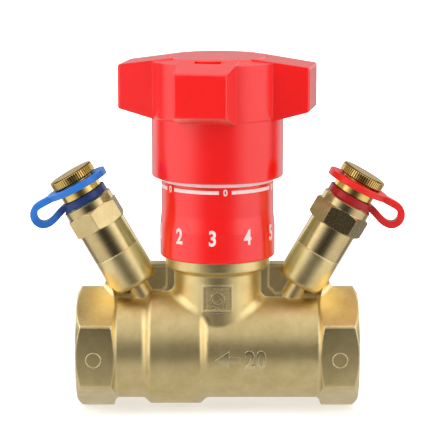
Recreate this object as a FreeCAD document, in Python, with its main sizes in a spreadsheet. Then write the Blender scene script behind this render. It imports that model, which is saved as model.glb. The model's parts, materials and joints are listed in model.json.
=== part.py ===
import FreeCAD, Part
import math
import os

import Sketcher

# Circuit balancing valve, millimetres, +Z up along the stem. The pipe runs along X, with the inlet at +X.
# The origin is on the stem axis, at the level of the lowest point of the body.
# Levels are heights above the pipe axis. On a test point they are distances from its seam, along its axis.

doc = FreeCAD.newDocument("circuit_balancing_valve")
sheet = doc.addObject("Spreadsheet::Sheet", "Sizes")


# Terms: a term is a size, or a sum of sizes, that knows its number and the sheet's expression for it

class Term:
    def __init__(self, text, number):
        self.text = text
        self.number = number

    def __add__(self, other):
        return Term(f"({self.text} + {term(other).text})", self.number + term(other).number)

    def __radd__(self, other):
        return term(other) + self

    def __sub__(self, other):
        return Term(f"({self.text} - {term(other).text})", self.number - term(other).number)

    def __rsub__(self, other):
        return term(other) - self

    def __mul__(self, other):
        return Term(f"({self.text} * {term(other).text})", self.number * term(other).number)

    def __rmul__(self, other):
        return term(other) * self

    def __truediv__(self, other):
        return Term(f"({self.text} / {term(other).text})", self.number / term(other).number)

    def __rtruediv__(self, other):
        return term(other) / self

    def __neg__(self):
        return Term(f"(0 - {self.text})", -self.number)


def term(value):
    return value if isinstance(value, Term) else Term(repr(float(value)), float(value))


def sine(angle):
    return Term(f"sin({term(angle).text})", math.sin(math.radians(term(angle).number)))


def cosine(angle):
    return Term(f"cos({term(angle).text})", math.cos(math.radians(term(angle).number)))


def tangent(angle):
    return sine(angle) / cosine(angle)


def size(alias, number):
    """Write one driving size into the sheet, and return its term."""
    row = size.rows = getattr(size, "rows", 0) + 1
    sheet.set(f"A{row}", alias)
    sheet.set(f"B{row}", str(number))
    sheet.setAlias(f"B{row}", alias)
    return Term(f"Sizes.{alias}", float(number))


# Fits

thread_fit = size("thread_fit", 0.03)
running_fit = size("running_fit", 0.05)
slip_fit = size("slip_fit", 0.1)
seal_gap = size("seal_gap", 0.06)

# Body casting

body_length = size("body_length", 83.6)
pipe_thread_radius = size("pipe_thread_radius", 13.22)
hex_wall = size("hex_wall", 2.78)
hex_edge_round = size("hex_edge_round", 1.4)
hex_length = size("hex_length", 12.0)
hex_end_chamfer_angle = size("hex_end_chamfer_angle", 30.0)
hex_rear_chamfer_angle = size("hex_rear_chamfer_angle", 45.0)
barrel_wall = size("barrel_wall", 2.24)
band_rise = size("band_rise", 1.74)
band_start = size("band_start", 5.0)
band_end = size("band_end", 20.0)
band_crest_round = size("band_crest_round", 1.1)
band_root_round = size("band_root_round", 1.8)
neck_inset = size("neck_inset", 2.66)
neck_top = size("neck_top", 28.1)
neck_root_round = size("neck_root_round", 2.6)
collar_overhang = size("collar_overhang", 2.6)
collar_height = size("collar_height", 3.0)
collar_slope = size("collar_slope", 1.6)
web_half_thickness = size("web_half_thickness", 2.2)
web_top = size("web_top", 25.6)
web_inner = size("web_inner", 11.5)
web_outer = size("web_outer", 31.0)
web_bottom = size("web_bottom", 13.0)
web_floor_half_thickness = size("web_floor_half_thickness", 0.9)
web_rim = size("web_rim", 1.1)
web_neck_rim = size("web_neck_rim", 2.4)
web_pocket_bottom = size("web_pocket_bottom", 16.4)

# Bosses for the test points, leaning away from the neck

boss_tilt = size("boss_tilt", 30.0)
boss_set_in = size("boss_set_in", 16.47)
boss_stand = size("boss_stand", 10.5)
boss_radius = size("boss_radius", 7.25)
boss_height = size("boss_height", 11.4)
heel_round = size("heel_round", 1.7)
heel_set_back = size("heel_set_back", 0.4)
heel_length = size("heel_length", 8.0)
heel_end_angle = size("heel_end_angle", 20.0)
boss_stalk_radius = size("boss_stalk_radius", 3.3)
boss_stalk_depth = size("boss_stalk_depth", 10.0)
boss_edge_round = size("boss_edge_round", 1.5)

# Raised pad on the front of the neck

pad_width = size("pad_width", 9.0)
pad_height = size("pad_height", 8.0)
pad_level = size("pad_level", 12.9)
pad_raise = size("pad_raise", 0.35)
pad_frame = size("pad_frame", 0.55)
pad_sink = size("pad_sink", 0.25)

# Inside of the body

pipe_thread_length = size("pipe_thread_length", 15.0)
pipe_mouth_chamfer = size("pipe_mouth_chamfer", 0.8)
chamber_step = size("chamber_step", 0.82)
inlet_chamber_end = size("inlet_chamber_end", 13.0)
outlet_chamber_end = size("outlet_chamber_end", 12.6)
under_channel_end = size("under_channel_end", 10.0)
seat_level = size("seat_level", 1.0)
seat_lip_height = size("seat_lip_height", 0.8)
seat_lip_inset = size("seat_lip_inset", 0.2)
seat_lip_width = size("seat_lip_width", 1.2)
partition_thickness = size("partition_thickness", 2.2)
neck_wall = size("neck_wall", 2.2)
plug_chamber_step = size("plug_chamber_step", 1.0)
bonnet_thread_length = size("bonnet_thread_length", 8.5)
bonnet_thread_runout = size("bonnet_thread_runout", 0.6)
test_drill_radius = size("test_drill_radius", 1.5)
test_drill_depth = size("test_drill_depth", 22.0)

# Bonnet and gland

bonnet_oring_section = size("bonnet_oring_section", 1.3)
bonnet_hex_wall = size("bonnet_hex_wall", 0.4)
bonnet_flange_height = size("bonnet_flange_height", 1.9)
bonnet_hex_height = size("bonnet_hex_height", 5.2)
tower_radius = size("tower_radius", 9.6)
tower_top = size("tower_top", 58.0)
spindle_thread_radius = size("spindle_thread_radius", 5.5)
bonnet_nut_top = size("bonnet_nut_top", 33.0)
relief_radius = size("relief_radius", 6.4)
land_height = size("land_height", 2.0)
gland_depth = size("gland_depth", 12.0)
gland_radius = size("gland_radius", 7.6)
stem_oring_section = size("stem_oring_section", 2.4)
gland_ring_height = size("gland_ring_height", 1.8)
gland_nut_flats = size("gland_nut_flats", 15.0)
gland_nut_head = size("gland_nut_head", 3.0)

# Spindle

stem_radius = size("stem_radius", 5.0)
spindle_head_bottom = size("spindle_head_bottom", 4.2)
spindle_head_height = size("spindle_head_height", 2.0)
spindle_head_radius = size("spindle_head_radius", 4.2)
spindle_neck_radius = size("spindle_neck_radius", 2.8)
spindle_neck_height = size("spindle_neck_height", 1.6)
spindle_thread_bottom = size("spindle_thread_bottom", 12.0)
spindle_thread_top = size("spindle_thread_top", 32.6)
square_rise = size("square_rise", 9.0)
square_length = size("square_length", 9.0)
square_flats = size("square_flats", 8.0)
screw_thread_radius = size("screw_thread_radius", 2.5)
screw_hole_depth = size("screw_hole_depth", 12.0)

# Plug

plug_side_gap = size("plug_side_gap", 0.7)
plug_top = size("plug_top", 11.0)
plug_stub_radius = size("plug_stub_radius", 3.0)
seal_thickness = size("seal_thickness", 2.0)
seal_inset = size("seal_inset", 0.3)
cone_gap = size("cone_gap", 0.3)
cone_height = size("cone_height", 4.0)
cone_taper = size("cone_taper", 1.9)
plug_nut_flats = size("plug_nut_flats", 8.0)
plug_nut_height = size("plug_nut_height", 2.4)
plug_clip_radius = size("plug_clip_radius", 5.6)
plug_clip_thickness = size("plug_clip_thickness", 1.1)
clip_mouth = size("clip_mouth", 2.6)

# Number sleeve

sleeve_radius = size("sleeve_radius", 17.05)
sleeve_low_height = size("sleeve_low_height", 8.7)
sleeve_taper_height = size("sleeve_taper_height", 4.6)
sleeve_upper_radius = size("sleeve_upper_radius", 16.6)
sleeve_rise = size("sleeve_rise", 4.0)
sleeve_wall = size("sleeve_wall", 1.6)
sleeve_foot_gap = size("sleeve_foot_gap", 0.5)
sleeve_web_bottom = size("sleeve_web_bottom", 33.0)
sleeve_web_top = size("sleeve_web_top", 37.0)
sleeve_edge_chamfer = size("sleeve_edge_chamfer", 0.4)
sleeve_clip_thickness = size("sleeve_clip_thickness", 1.0)
sleeve_clip_radius = size("sleeve_clip_radius", 12.0)
sleeve_clip_depth = size("sleeve_clip_depth", 0.6)
sleeve_clip_mouth = size("sleeve_clip_mouth", 7.8)

# Handwheel

wheel_turn = size("wheel_turn", 10.2)
skirt_drop = size("skirt_drop", 6.04)
skirt_radius = size("skirt_radius", 19.4)
skirt_clearance = size("skirt_clearance", 0.6)
skirt_edge_round = size("skirt_edge_round", 0.5)
wheel_step_rise = size("wheel_step_rise", 11.7)
wheel_step = size("wheel_step", 0.3)
wheel_slope = size("wheel_slope", 8.0)
arm_tip_radius = size("arm_tip_radius", 28.44)
arm_tip_half_width = size("arm_tip_half_width", 7.85)
arm_flare_angle = size("arm_flare_angle", 3.4)
arm_rise = size("arm_rise", 14.2)
arm_under_slope = size("arm_under_slope", 15.0)
arm_edge_round = size("arm_edge_round", 0.9)
crown_thickness = size("crown_thickness", 2.6)
hub_radius = size("hub_radius", 8.2)
hub_floor_thickness = size("hub_floor_thickness", 2.0)
hub_well_radius = size("hub_well_radius", 6.2)
wheel_rib_thickness = size("wheel_rib_thickness", 1.8)
wheel_rib_rise = size("wheel_rib_rise", 12.5)

# Cap disc and screw in the handwheel

disc_radius = size("disc_radius", 14.5)
disc_thickness = size("disc_thickness", 2.2)
disc_edge_chamfer = size("disc_edge_chamfer", 0.35)
disc_peg_length = size("disc_peg_length", 1.2)
disc_peg_wall = size("disc_peg_wall", 1.6)
disc_recess = size("disc_recess", 1.8)
pry_notch_width = size("pry_notch_width", 7.7)
pry_notch_length = size("pry_notch_length", 2.4)
pry_notch_depth = size("pry_notch_depth", 1.3)
washer_radius = size("washer_radius", 5.4)
washer_thickness = size("washer_thickness", 1.0)
screw_head_radius = size("screw_head_radius", 4.3)
screw_head_height = size("screw_head_height", 3.2)
screw_length = size("screw_length", 12.0)
screw_key_flats = size("screw_key_flats", 4.0)
screw_key_depth = size("screw_key_depth", 2.2)
disc_room = size("disc_room", 2.9)

# Test points

spigot_radius = size("spigot_radius", 4.8)
spigot_length = size("spigot_length", 8.8)
spigot_hole_spare = size("spigot_hole_spare", 0.8)
test_oring_section = size("test_oring_section", 1.2)
barrel_end = size("barrel_end", 8.8)
test_hex_flats = size("test_hex_flats", 15.0)
test_hex_end = size("test_hex_end", 15.0)
test_hex_chamfer = size("test_hex_chamfer", 0.6)
test_collar_radius = size("test_collar_radius", 7.6)
test_collar_end = size("test_collar_end", 17.8)
test_collar_chamfer = size("test_collar_chamfer", 0.6)
nozzle_radius = size("nozzle_radius", 4.5)
nozzle_end = size("nozzle_end", 25.3)
septum_radius = size("septum_radius", 2.6)
septum_bottom = size("septum_bottom", 10.0)
septum_length = size("septum_length", 10.0)
bush_hole_radius = size("bush_hole_radius", 1.2)

# Caps and straps

cap_bottom = size("cap_bottom", 20.15)
cap_flange_radius = size("cap_flange_radius", 6.2)
cap_groove_bottom = size("cap_groove_bottom", 22.0)
cap_groove_top = size("cap_groove_top", 24.5)
cap_groove_radius = size("cap_groove_radius", 5.35)
cap_head_radius = size("cap_head_radius", 6.9)
cap_top = size("cap_top", 27.4)
cap_edge_chamfer = size("cap_edge_chamfer", 0.45)
knurl_count = size("knurl_count", 60)
knurl_depth = size("knurl_depth", 0.36)
gasket_thickness = size("gasket_thickness", 0.5)
strap_ring_inner = size("strap_ring_inner", 5.6)
strap_upper_radius = size("strap_upper_radius", 9.45)
strap_upper_thickness = size("strap_upper_thickness", 1.8)
strap_upper_tilt = size("strap_upper_tilt", 2.5)
strap_lower_radius = size("strap_lower_radius", 7.05)
strap_lower_thickness = size("strap_lower_thickness", 2.1)
strap_thickness = size("strap_thickness", 2.0)
strap_width = size("strap_width", 3.2)
strap_loop_reach = size("strap_loop_reach", 16.05)
strap_loop_belly = size("strap_loop_belly", 17.4)
strap_loop_bend = size("strap_loop_bend", 2.2)

doc.recompute()

# Sizes and levels that follow from the ones above

hex_half = pipe_thread_radius + hex_wall
hex_corner = hex_half / cosine(30)
pipe_rise = hex_corner - hex_edge_round * (1 / cosine(30) - 1)
body_half = body_length / 2
hex_rear = body_half - hex_length
barrel_radius = pipe_thread_radius + barrel_wall
band_radius = barrel_radius + band_rise
neck_radius = barrel_radius - neck_inset
collar_radius = neck_radius + collar_overhang
chamber_radius = pipe_thread_radius - chamber_step
bonnet_thread_radius = neck_radius - neck_wall
plug_chamber_radius = bonnet_thread_radius - plug_chamber_step
plug_radius = plug_chamber_radius - plug_side_gap
seal_radius = plug_radius - seal_inset
seat_lip_radius = plug_radius - seat_lip_inset
seat_bore_radius = seat_lip_radius - seat_lip_width
cone_tip_radius = seat_bore_radius - cone_taper
seat_floor = seat_level - seat_lip_height
partition_bottom = seat_floor - partition_thickness
boss_foot = hex_rear - boss_set_in
seam_rise = hex_corner + boss_stand
boss_reach = seam_rise / cosine(boss_tilt)
seam_out = boss_foot + boss_reach * sine(boss_tilt)
flange_top = neck_top + bonnet_flange_height
bonnet_hex_top = flange_top + bonnet_hex_height
bonnet_flats = 2 * (bonnet_thread_radius + bonnet_hex_wall)
bonnet_corner = bonnet_flats / 2 / cosine(30)
sleeve_foot_radius = bonnet_corner + sleeve_foot_gap
gland_bottom = tower_top - gland_depth
land_bottom = gland_bottom - land_height
sleeve_top = tower_top + sleeve_rise
bonnet_oring_groove = bonnet_oring_section + 2 * seal_gap
stem_oring_groove = stem_oring_section + 2 * seal_gap
gland_ring_bottom = gland_bottom + stem_oring_groove
gland_ring_top = gland_ring_bottom + gland_ring_height
gland_nut_bottom = gland_ring_top + stem_oring_groove
spindle_neck_bottom = spindle_head_bottom + spindle_head_height
spindle_neck_top = spindle_neck_bottom + spindle_neck_height
seal_bottom = seat_level + seal_gap
seal_top = seal_bottom + seal_thickness
cone_bottom = seal_bottom - cone_height
plug_nut_bottom = cone_bottom - plug_nut_height
square_bottom = tower_top + square_rise
square_top = square_bottom + square_length
skirt_bottom = tower_top - skirt_drop
wheel_step_level = tower_top + wheel_step_rise
arm_tip_bottom = tower_top + arm_rise
wheel_rib_bottom = tower_top + wheel_rib_rise
skirt_inner = sleeve_upper_radius + skirt_clearance
wheel_wall_radius = skirt_radius + wheel_step
disc_seat_radius = disc_radius + slip_fit
hub_floor = square_top + slip_fit
hub_top_face = hub_floor + hub_floor_thickness
screw_seat = hub_top_face + washer_thickness
disc_seat_level = screw_seat + screw_head_height + disc_room
wheel_rim_level = disc_seat_level + disc_recess
crown_bottom = disc_seat_level - crown_thickness
gasket_bottom = nozzle_end + seal_gap
gasket_top = gasket_bottom + gasket_thickness


# Placing and building

UPRIGHT = "create(<<rotation>>; create(<<vector>>; 0; 0; 1); 0)"
ALONG_X = "create(<<rotation>>; create(<<vector>>; 0; 1; 0); 90)"


def about_z(angle):
    return f"create(<<rotation>>; create(<<vector>>; 0; 0; 1); {term(angle).text})"


def about_y(angle):
    return f"create(<<rotation>>; create(<<vector>>; 0; 1; 0); {term(angle).text})"


def put(thing, x=0, y=0, z=0, turn=UPRIGHT):
    """Bind a thing's place to the sheet."""
    where = f"create(<<vector>>; {term(x).text}; {term(y).text}; {term(z).text})"
    thing.setExpression("Placement", f"create(<<placement>>; {where}; {turn})")


def put_on_stem(thing):
    put(thing, z=pipe_rise)


def put_on_test_point(thing, side):
    """Stand a thing on the seam of a boss. The outlet's is the inlet's turned half round the stem."""
    if side == "inlet":
        put(thing, x=seam_out, z=seam_rise + pipe_rise, turn=about_y(boss_tilt))
    else:
        axis = f"create(<<vector>>; {(-sine(boss_tilt / 2)).text}; 0; {cosine(boss_tilt / 2).text})"
        put(thing, x=-seam_out, z=seam_rise + pipe_rise, turn=f"create(<<rotation>>; {axis}; 180)")


def bind_point(sketch, edge, along, value):
    """Hold one coordinate of an edge's first point at a term, or on the axis where it is zero."""
    value = term(value)
    if value.text == "0.0":
        axis = -2 if along == "DistanceX" else -1
        sketch.addConstraint(Sketcher.Constraint("PointOnObject", edge, 1, axis))
        return
    number = sketch.addConstraint(Sketcher.Constraint(along, -1, 1, edge, 1, value.number))
    if "Sizes" in value.text:
        sketch.setExpression(f"Constraints[{number}]", value.text)


def draw_outline(sketch, points):
    """Close a polygon through points whose coordinates are terms."""
    first = sketch.GeometryCount
    numbers = [FreeCAD.Vector(term(x).number, term(y).number, 0) for x, y in points]
    for start, end in zip(numbers, numbers[1:] + numbers[:1]):
        sketch.addGeometry(Part.LineSegment(start, end), False)
    for place, (x, y) in enumerate(points):
        following = first + (place + 1) % len(points)
        sketch.addConstraint(Sketcher.Constraint("Coincident", first + place, 2, following, 1))
        bind_point(sketch, first + place, "DistanceX", x)
        bind_point(sketch, first + place, "DistanceY", y)


def draw_circle(sketch, radius):
    circle = Part.Circle(FreeCAD.Vector(0, 0, 0), Z_AXIS, radius.number)
    edge = sketch.addGeometry(circle, False)
    sketch.addConstraint(Sketcher.Constraint("Coincident", edge, 3, -1, 1))
    number = sketch.addConstraint(Sketcher.Constraint("Radius", edge, radius.number))
    sketch.setExpression(f"Constraints[{number}]", radius.text)


def sketch_in(body, name, role, offset=None):
    """A sketch on one of the body's own origin planes, moved along its normal by the offset."""
    sketch = body.newObject("Sketcher::SketchObject", name)
    plane = [feature for feature in body.Origin.OriginFeatures if feature.Role == role][0]
    sketch.AttachmentSupport = [(plane, "")]
    sketch.MapMode = "FlatFace"
    if offset is not None:
        sketch.setExpression("AttachmentOffset.Base.z", term(offset).text)
    return sketch


def turned_body(name, outline):
    """A body turned from a half section of (radius, level) points about its own Z axis."""
    body = doc.addObject("PartDesign::Body", name)
    sketch = sketch_in(body, f"{name}_section", "XZ_Plane")
    draw_outline(sketch, outline)
    turning = body.newObject("PartDesign::Revolution", f"{name}_turning")
    turning.Profile = sketch
    turning.ReferenceAxis = (sketch, ["V_Axis"])
    turning.Angle = 360
    return body


def cut_through(body, name, draw, bottom, height):
    """Cut upwards from a level the area that draw puts in a sketch, and check that metal came away."""
    sketch = sketch_in(body, f"{name}_sketch", "XY_Plane", bottom)
    draw(sketch)
    doc.recompute()
    before = body.Shape.Volume
    pocket = body.newObject("PartDesign::Pocket", name)
    pocket.Profile = sketch
    pocket.Reversed = True
    pocket.setExpression("Length", term(height).text)
    doc.recompute()
    if not pocket.Shape.Volume < before:
        raise RuntimeError(f"{name} cuts nothing")
    return pocket


def polygon_corners(flats, sides, turn):
    """The corners of a regular polygon by its width across flats, one flat facing Y when turn is 0."""
    reach = flats / 2 / cosine(180 / sides)
    angles = [turn + 90 - 180 / sides + 360 / sides * corner for corner in range(sides)]
    return [(reach * cosine(angle), reach * sine(angle)) for angle in angles]


def mill_flats(body, name, flats, sides, bottom, height, around, turn=0.0):
    """Mill a turned stretch to a polygon: what lies between it and a circle around it is cut away."""
    def draw(sketch):
        draw_outline(sketch, polygon_corners(flats, sides, turn))
        draw_circle(sketch, around)
    cut_through(body, name, draw, bottom, height)


def open_ring(body, name, mouth, outer, bottom, height):
    """Cut the mouth of a spring clip, towards +X."""
    half = mouth / 2
    corners = [(0.0, -half), (outer, -half), (outer, half), (0.0, half)]
    cut_through(body, name, lambda sketch: draw_outline(sketch, corners), bottom, height)


def cylinder(name, radius, height, **place):
    thing = doc.addObject("Part::Cylinder", name)
    thing.setExpression("Radius", term(radius).text)
    thing.setExpression("Height", term(height).text)
    put(thing, **place)
    return thing


def box(name, length, width, height, **place):
    thing = doc.addObject("Part::Box", name)
    thing.setExpression("Length", term(length).text)
    thing.setExpression("Width", term(width).text)
    thing.setExpression("Height", term(height).text)
    put(thing, **place)
    return thing


def turned_solid(name, outline, about):
    """A solid turned from a sketch in the XZ plane about the X or the Z axis, for use in booleans."""
    sketch = doc.addObject("Sketcher::SketchObject", f"{name}_section")
    sketch.Placement = FreeCAD.Placement(FreeCAD.Vector(0, 0, 0), FreeCAD.Rotation(X_AXIS, 90))
    draw_outline(sketch, outline)
    turning = doc.addObject("Part::Revolution", name)
    turning.Source = sketch
    turning.Axis = FreeCAD.Vector(1, 0, 0) if about == "X" else FreeCAD.Vector(0, 0, 1)
    turning.Angle = 360
    turning.Solid = True
    return turning


def slab(name, outline, half_thickness):
    """A flat plate drawn in the XZ plane and grown both ways along Y."""
    sketch = doc.addObject("Sketcher::SketchObject", f"{name}_sketch")
    sketch.Placement = FreeCAD.Placement(FreeCAD.Vector(0, 0, 0), FreeCAD.Rotation(X_AXIS, 90))
    draw_outline(sketch, outline)
    plate = doc.addObject("Part::Extrusion", name)
    plate.Base = sketch
    plate.DirMode = "Normal"
    plate.Solid = True
    plate.setExpression("LengthFwd", half_thickness.text)
    plate.setExpression("LengthRev", half_thickness.text)
    return plate


def joined(name, things):
    fuse = doc.addObject("Part::MultiFuse", name)
    fuse.Shapes = things
    fuse.Refine = True
    return fuse


def shared(name, things):
    common = doc.addObject("Part::MultiCommon", name)
    common.Shapes = things
    return common


def less(name, base, tool):
    cut = doc.addObject("Part::Cut", name)
    cut.Base = base
    cut.Tool = tool
    return cut


def rounded(name, base, choose, radius):
    """Round the edges of a shape that choose picks, each given as an edge."""
    doc.recompute()
    picked = [number for number, edge in enumerate(base.Shape.Edges, start=1) if choose(edge)]
    if not picked:
        raise RuntimeError(f"{name} finds no edge")
    fillet = doc.addObject("Part::Fillet", name)
    fillet.Base = base
    fillet.Edges = [(number, radius.number, radius.number) for number in picked]
    return fillet


def is_line_along(edge, direction):
    """Whether an edge is straight and runs along a direction."""
    if not isinstance(edge.Curve, Part.Line):
        return False
    return abs(edge.Curve.Direction.dot(direction)) > 0.9999


X_AXIS = FreeCAD.Vector(1, 0, 0)
Z_AXIS = FreeCAD.Vector(0, 0, 1)
SIDES = {"inlet": 1, "outlet": -1}


# Body casting: hexagon ends, a turned barrel, a neck with its collar, two leaning bosses and their webs

def hex_bar(name, side, length):
    """A hexagon bar with rounded edges, which ends at the end of the body."""
    prism = doc.addObject("Part::Prism", f"{name}_prism")
    prism.Polygon = 6
    prism.setExpression("Circumradius", hex_corner.text)
    prism.setExpression("Height", length.text)
    put(prism, x=body_half - length if SIDES[side] > 0 else -body_half, turn=ALONG_X)
    return rounded(f"{name}_bar", prism, lambda edge: is_line_along(edge, X_AXIS), hex_edge_round)


def hex_end(side):
    """A hexagon end, held inside an envelope that chamfers its end and its back."""
    way = SIDES[side]
    bar = hex_bar(f"{side}_hex", side, hex_length + 1)
    envelope_radius = hex_corner + 1
    end_run = (envelope_radius - hex_half) * tangent(hex_end_chamfer_angle)
    rear_run = (envelope_radius - barrel_radius) * tangent(hex_rear_chamfer_angle)
    outline = [
        (way * (hex_rear - 1), 0.0),
        (way * body_half, 0.0),
        (way * body_half, hex_half),
        (way * (body_half - end_run), envelope_radius),
        (way * (hex_rear + rear_run), envelope_radius),
        (way * hex_rear, barrel_radius),
        (way * (hex_rear - 1), barrel_radius),
    ]
    envelope = turned_solid(f"{side}_hex_envelope", outline, "X")
    return shared(f"{side}_hex", [bar, envelope])


def barrel():
    """The turned barrel, with the thicker band on the outlet side of the neck."""
    shoulder = band_radius - barrel_radius
    inside_hex = hex_rear + 2
    outline = [
        (-inside_hex, 0.0),
        (inside_hex, 0.0),
        (inside_hex, barrel_radius),
        (shoulder - band_start, barrel_radius),
        (-band_start, band_radius),
        (-band_end, band_radius),
        (-band_end - shoulder, barrel_radius),
        (-inside_hex, barrel_radius),
    ]
    turned = turned_solid("barrel", outline, "X")
    crests = rounded("barrel_crests", turned, lambda edge: is_circle(edge, band_radius), band_crest_round)
    return rounded("barrel_roots", crests, is_shoulder_root, band_root_round)


def is_circle(edge, radius):
    return isinstance(edge.Curve, Part.Circle) and abs(edge.Curve.Radius - radius.number) < 0.001


def is_shoulder_root(edge):
    """Whether an edge is the foot of one of the band's two shoulders."""
    return is_circle(edge, barrel_radius) and abs(edge.BoundBox.Center.x) < hex_rear.number - 1


def neck():
    """The neck, with its collar under the number sleeve."""
    collar_bottom = neck_top - collar_height
    outline = [
        (0.0, 0.0),
        (neck_radius, 0.0),
        (neck_radius, collar_bottom - collar_slope),
        (collar_radius, collar_bottom),
        (collar_radius, neck_top),
        (0.0, neck_top),
    ]
    return turned_solid("neck", outline, "Z")


def on_boss_axis(distance, side):
    """The place of a point on a boss axis, at a distance from the seam."""
    reach = boss_reach + distance
    return {
        "x": SIDES[side] * (boss_foot + reach * sine(boss_tilt)),
        "z": reach * cosine(boss_tilt),
        "turn": about_y(SIDES[side] * boss_tilt),
    }


def is_on_boss(edge, side):
    """Whether an edge is a curve in a boss's round face, but neither an end circle nor its straight seam."""
    if isinstance(edge.Curve, (Part.Circle, Part.Line)):
        return False
    way = SIDES[side]
    tilt = math.radians(boss_tilt.number)
    along = FreeCAD.Vector(way * math.sin(tilt), 0, math.cos(tilt))
    foot = FreeCAD.Vector(way * boss_foot.number, 0, 0)
    away = [(point - foot).cross(along).Length for point in edge.discretize(5)]
    return all(abs(distance - boss_radius.number) < 0.01 for distance in away)


def heel(side):
    """The fillet where a boss runs into the hexagon, which ends towards the neck at a steep cone."""
    way = SIDES[side]
    bar = hex_bar(f"{side}_heel", side, body_half)
    post_height = boss_height + hex_corner
    post = cylinder(f"{side}_heel_post", boss_radius, post_height, **on_boss_axis(-post_height, side))
    block = joined(f"{side}_heel_block", [bar, post])
    filleted = rounded(f"{side}_heel_rounded", block, lambda edge: is_on_boss(edge, side), heel_round)
    start = hex_rear + heel_set_back
    end = start + heel_length
    limit = turned_solid(f"{side}_heel_limit", [
        (way * start, 0.0),
        (way * end, 0.0),
        (way * end, barrel_radius + heel_length / tangent(heel_end_angle)),
        (way * start, barrel_radius),
    ], "X")
    return shared(f"{side}_heel", [filleted, limit])


def web(side):
    """The wall between a boss and the neck, with a sunk field on each face that leaves a rim."""
    way = SIDES[side]
    top_on_axis = boss_foot + web_top * tangent(boss_tilt)
    outline = [
        (way * web_inner, web_bottom),
        (way * web_outer, web_bottom),
        (way * top_on_axis, web_top),
        (way * web_inner, web_top),
    ]
    wall = slab(f"{side}_web_wall", outline, web_half_thickness)
    inner = neck_radius + web_neck_rim
    corner = web_rim * 2
    field_top = web_top - web_rim
    field = [
        (way * inner, web_pocket_bottom + corner),
        (way * (inner + corner), web_pocket_bottom),
        (way * top_on_axis, web_pocket_bottom),
        (way * top_on_axis, field_top),
        (way * inner, field_top),
    ]
    sunk = slab(f"{side}_web_field", field, 2 * web_half_thickness)
    left = slab(f"{side}_web_floor", field, web_floor_half_thickness)
    return less(f"{side}_web", wall, less(f"{side}_web_fields", sunk, left))


def boss(side):
    """A boss with a round lower edge, the stalk under it, its heel on the hexagon and the web to the neck."""
    plain_post = cylinder(f"{side}_boss_post", boss_radius, boss_height, **on_boss_axis(-boss_height, side))

    def is_lower_edge(edge):
        return is_circle(edge, boss_radius) and edge.BoundBox.Center.z < on_boss_axis(-1, side)["z"].number

    post = rounded(f"{side}_boss_rounded", plain_post, is_lower_edge, boss_edge_round)
    stalk_start = -boss_height - boss_stalk_depth
    stalk_height = boss_stalk_depth + 1
    stalk = cylinder(f"{side}_boss_stalk", boss_stalk_radius, stalk_height, **on_boss_axis(stalk_start, side))
    return [post, stalk, heel(side), web(side)]


def raised_pad():
    """The square frame on the neck, standing out of it by the pad's raise."""
    shell = cylinder("pad_shell", neck_radius + pad_raise, pad_height, z=pad_level)
    corner = {"x": -pad_width / 2, "y": -collar_radius, "z": pad_level}
    block = box("pad_block", pad_width, collar_radius, pad_height, **corner)
    return shared("pad", [shell, block])


def pad_recess():
    """The sunk field inside the frame."""
    inner_width = pad_width - 2 * pad_frame
    inner_height = pad_height - 2 * pad_frame
    low = pad_level + pad_frame
    corner = {"x": -inner_width / 2, "y": -collar_radius, "z": low}
    block = box("recess_block", inner_width, collar_radius, inner_height, **corner)
    core = cylinder("recess_core", neck_radius + pad_raise - pad_sink, inner_height, z=low)
    return less("pad_recess", block, core)


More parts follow.
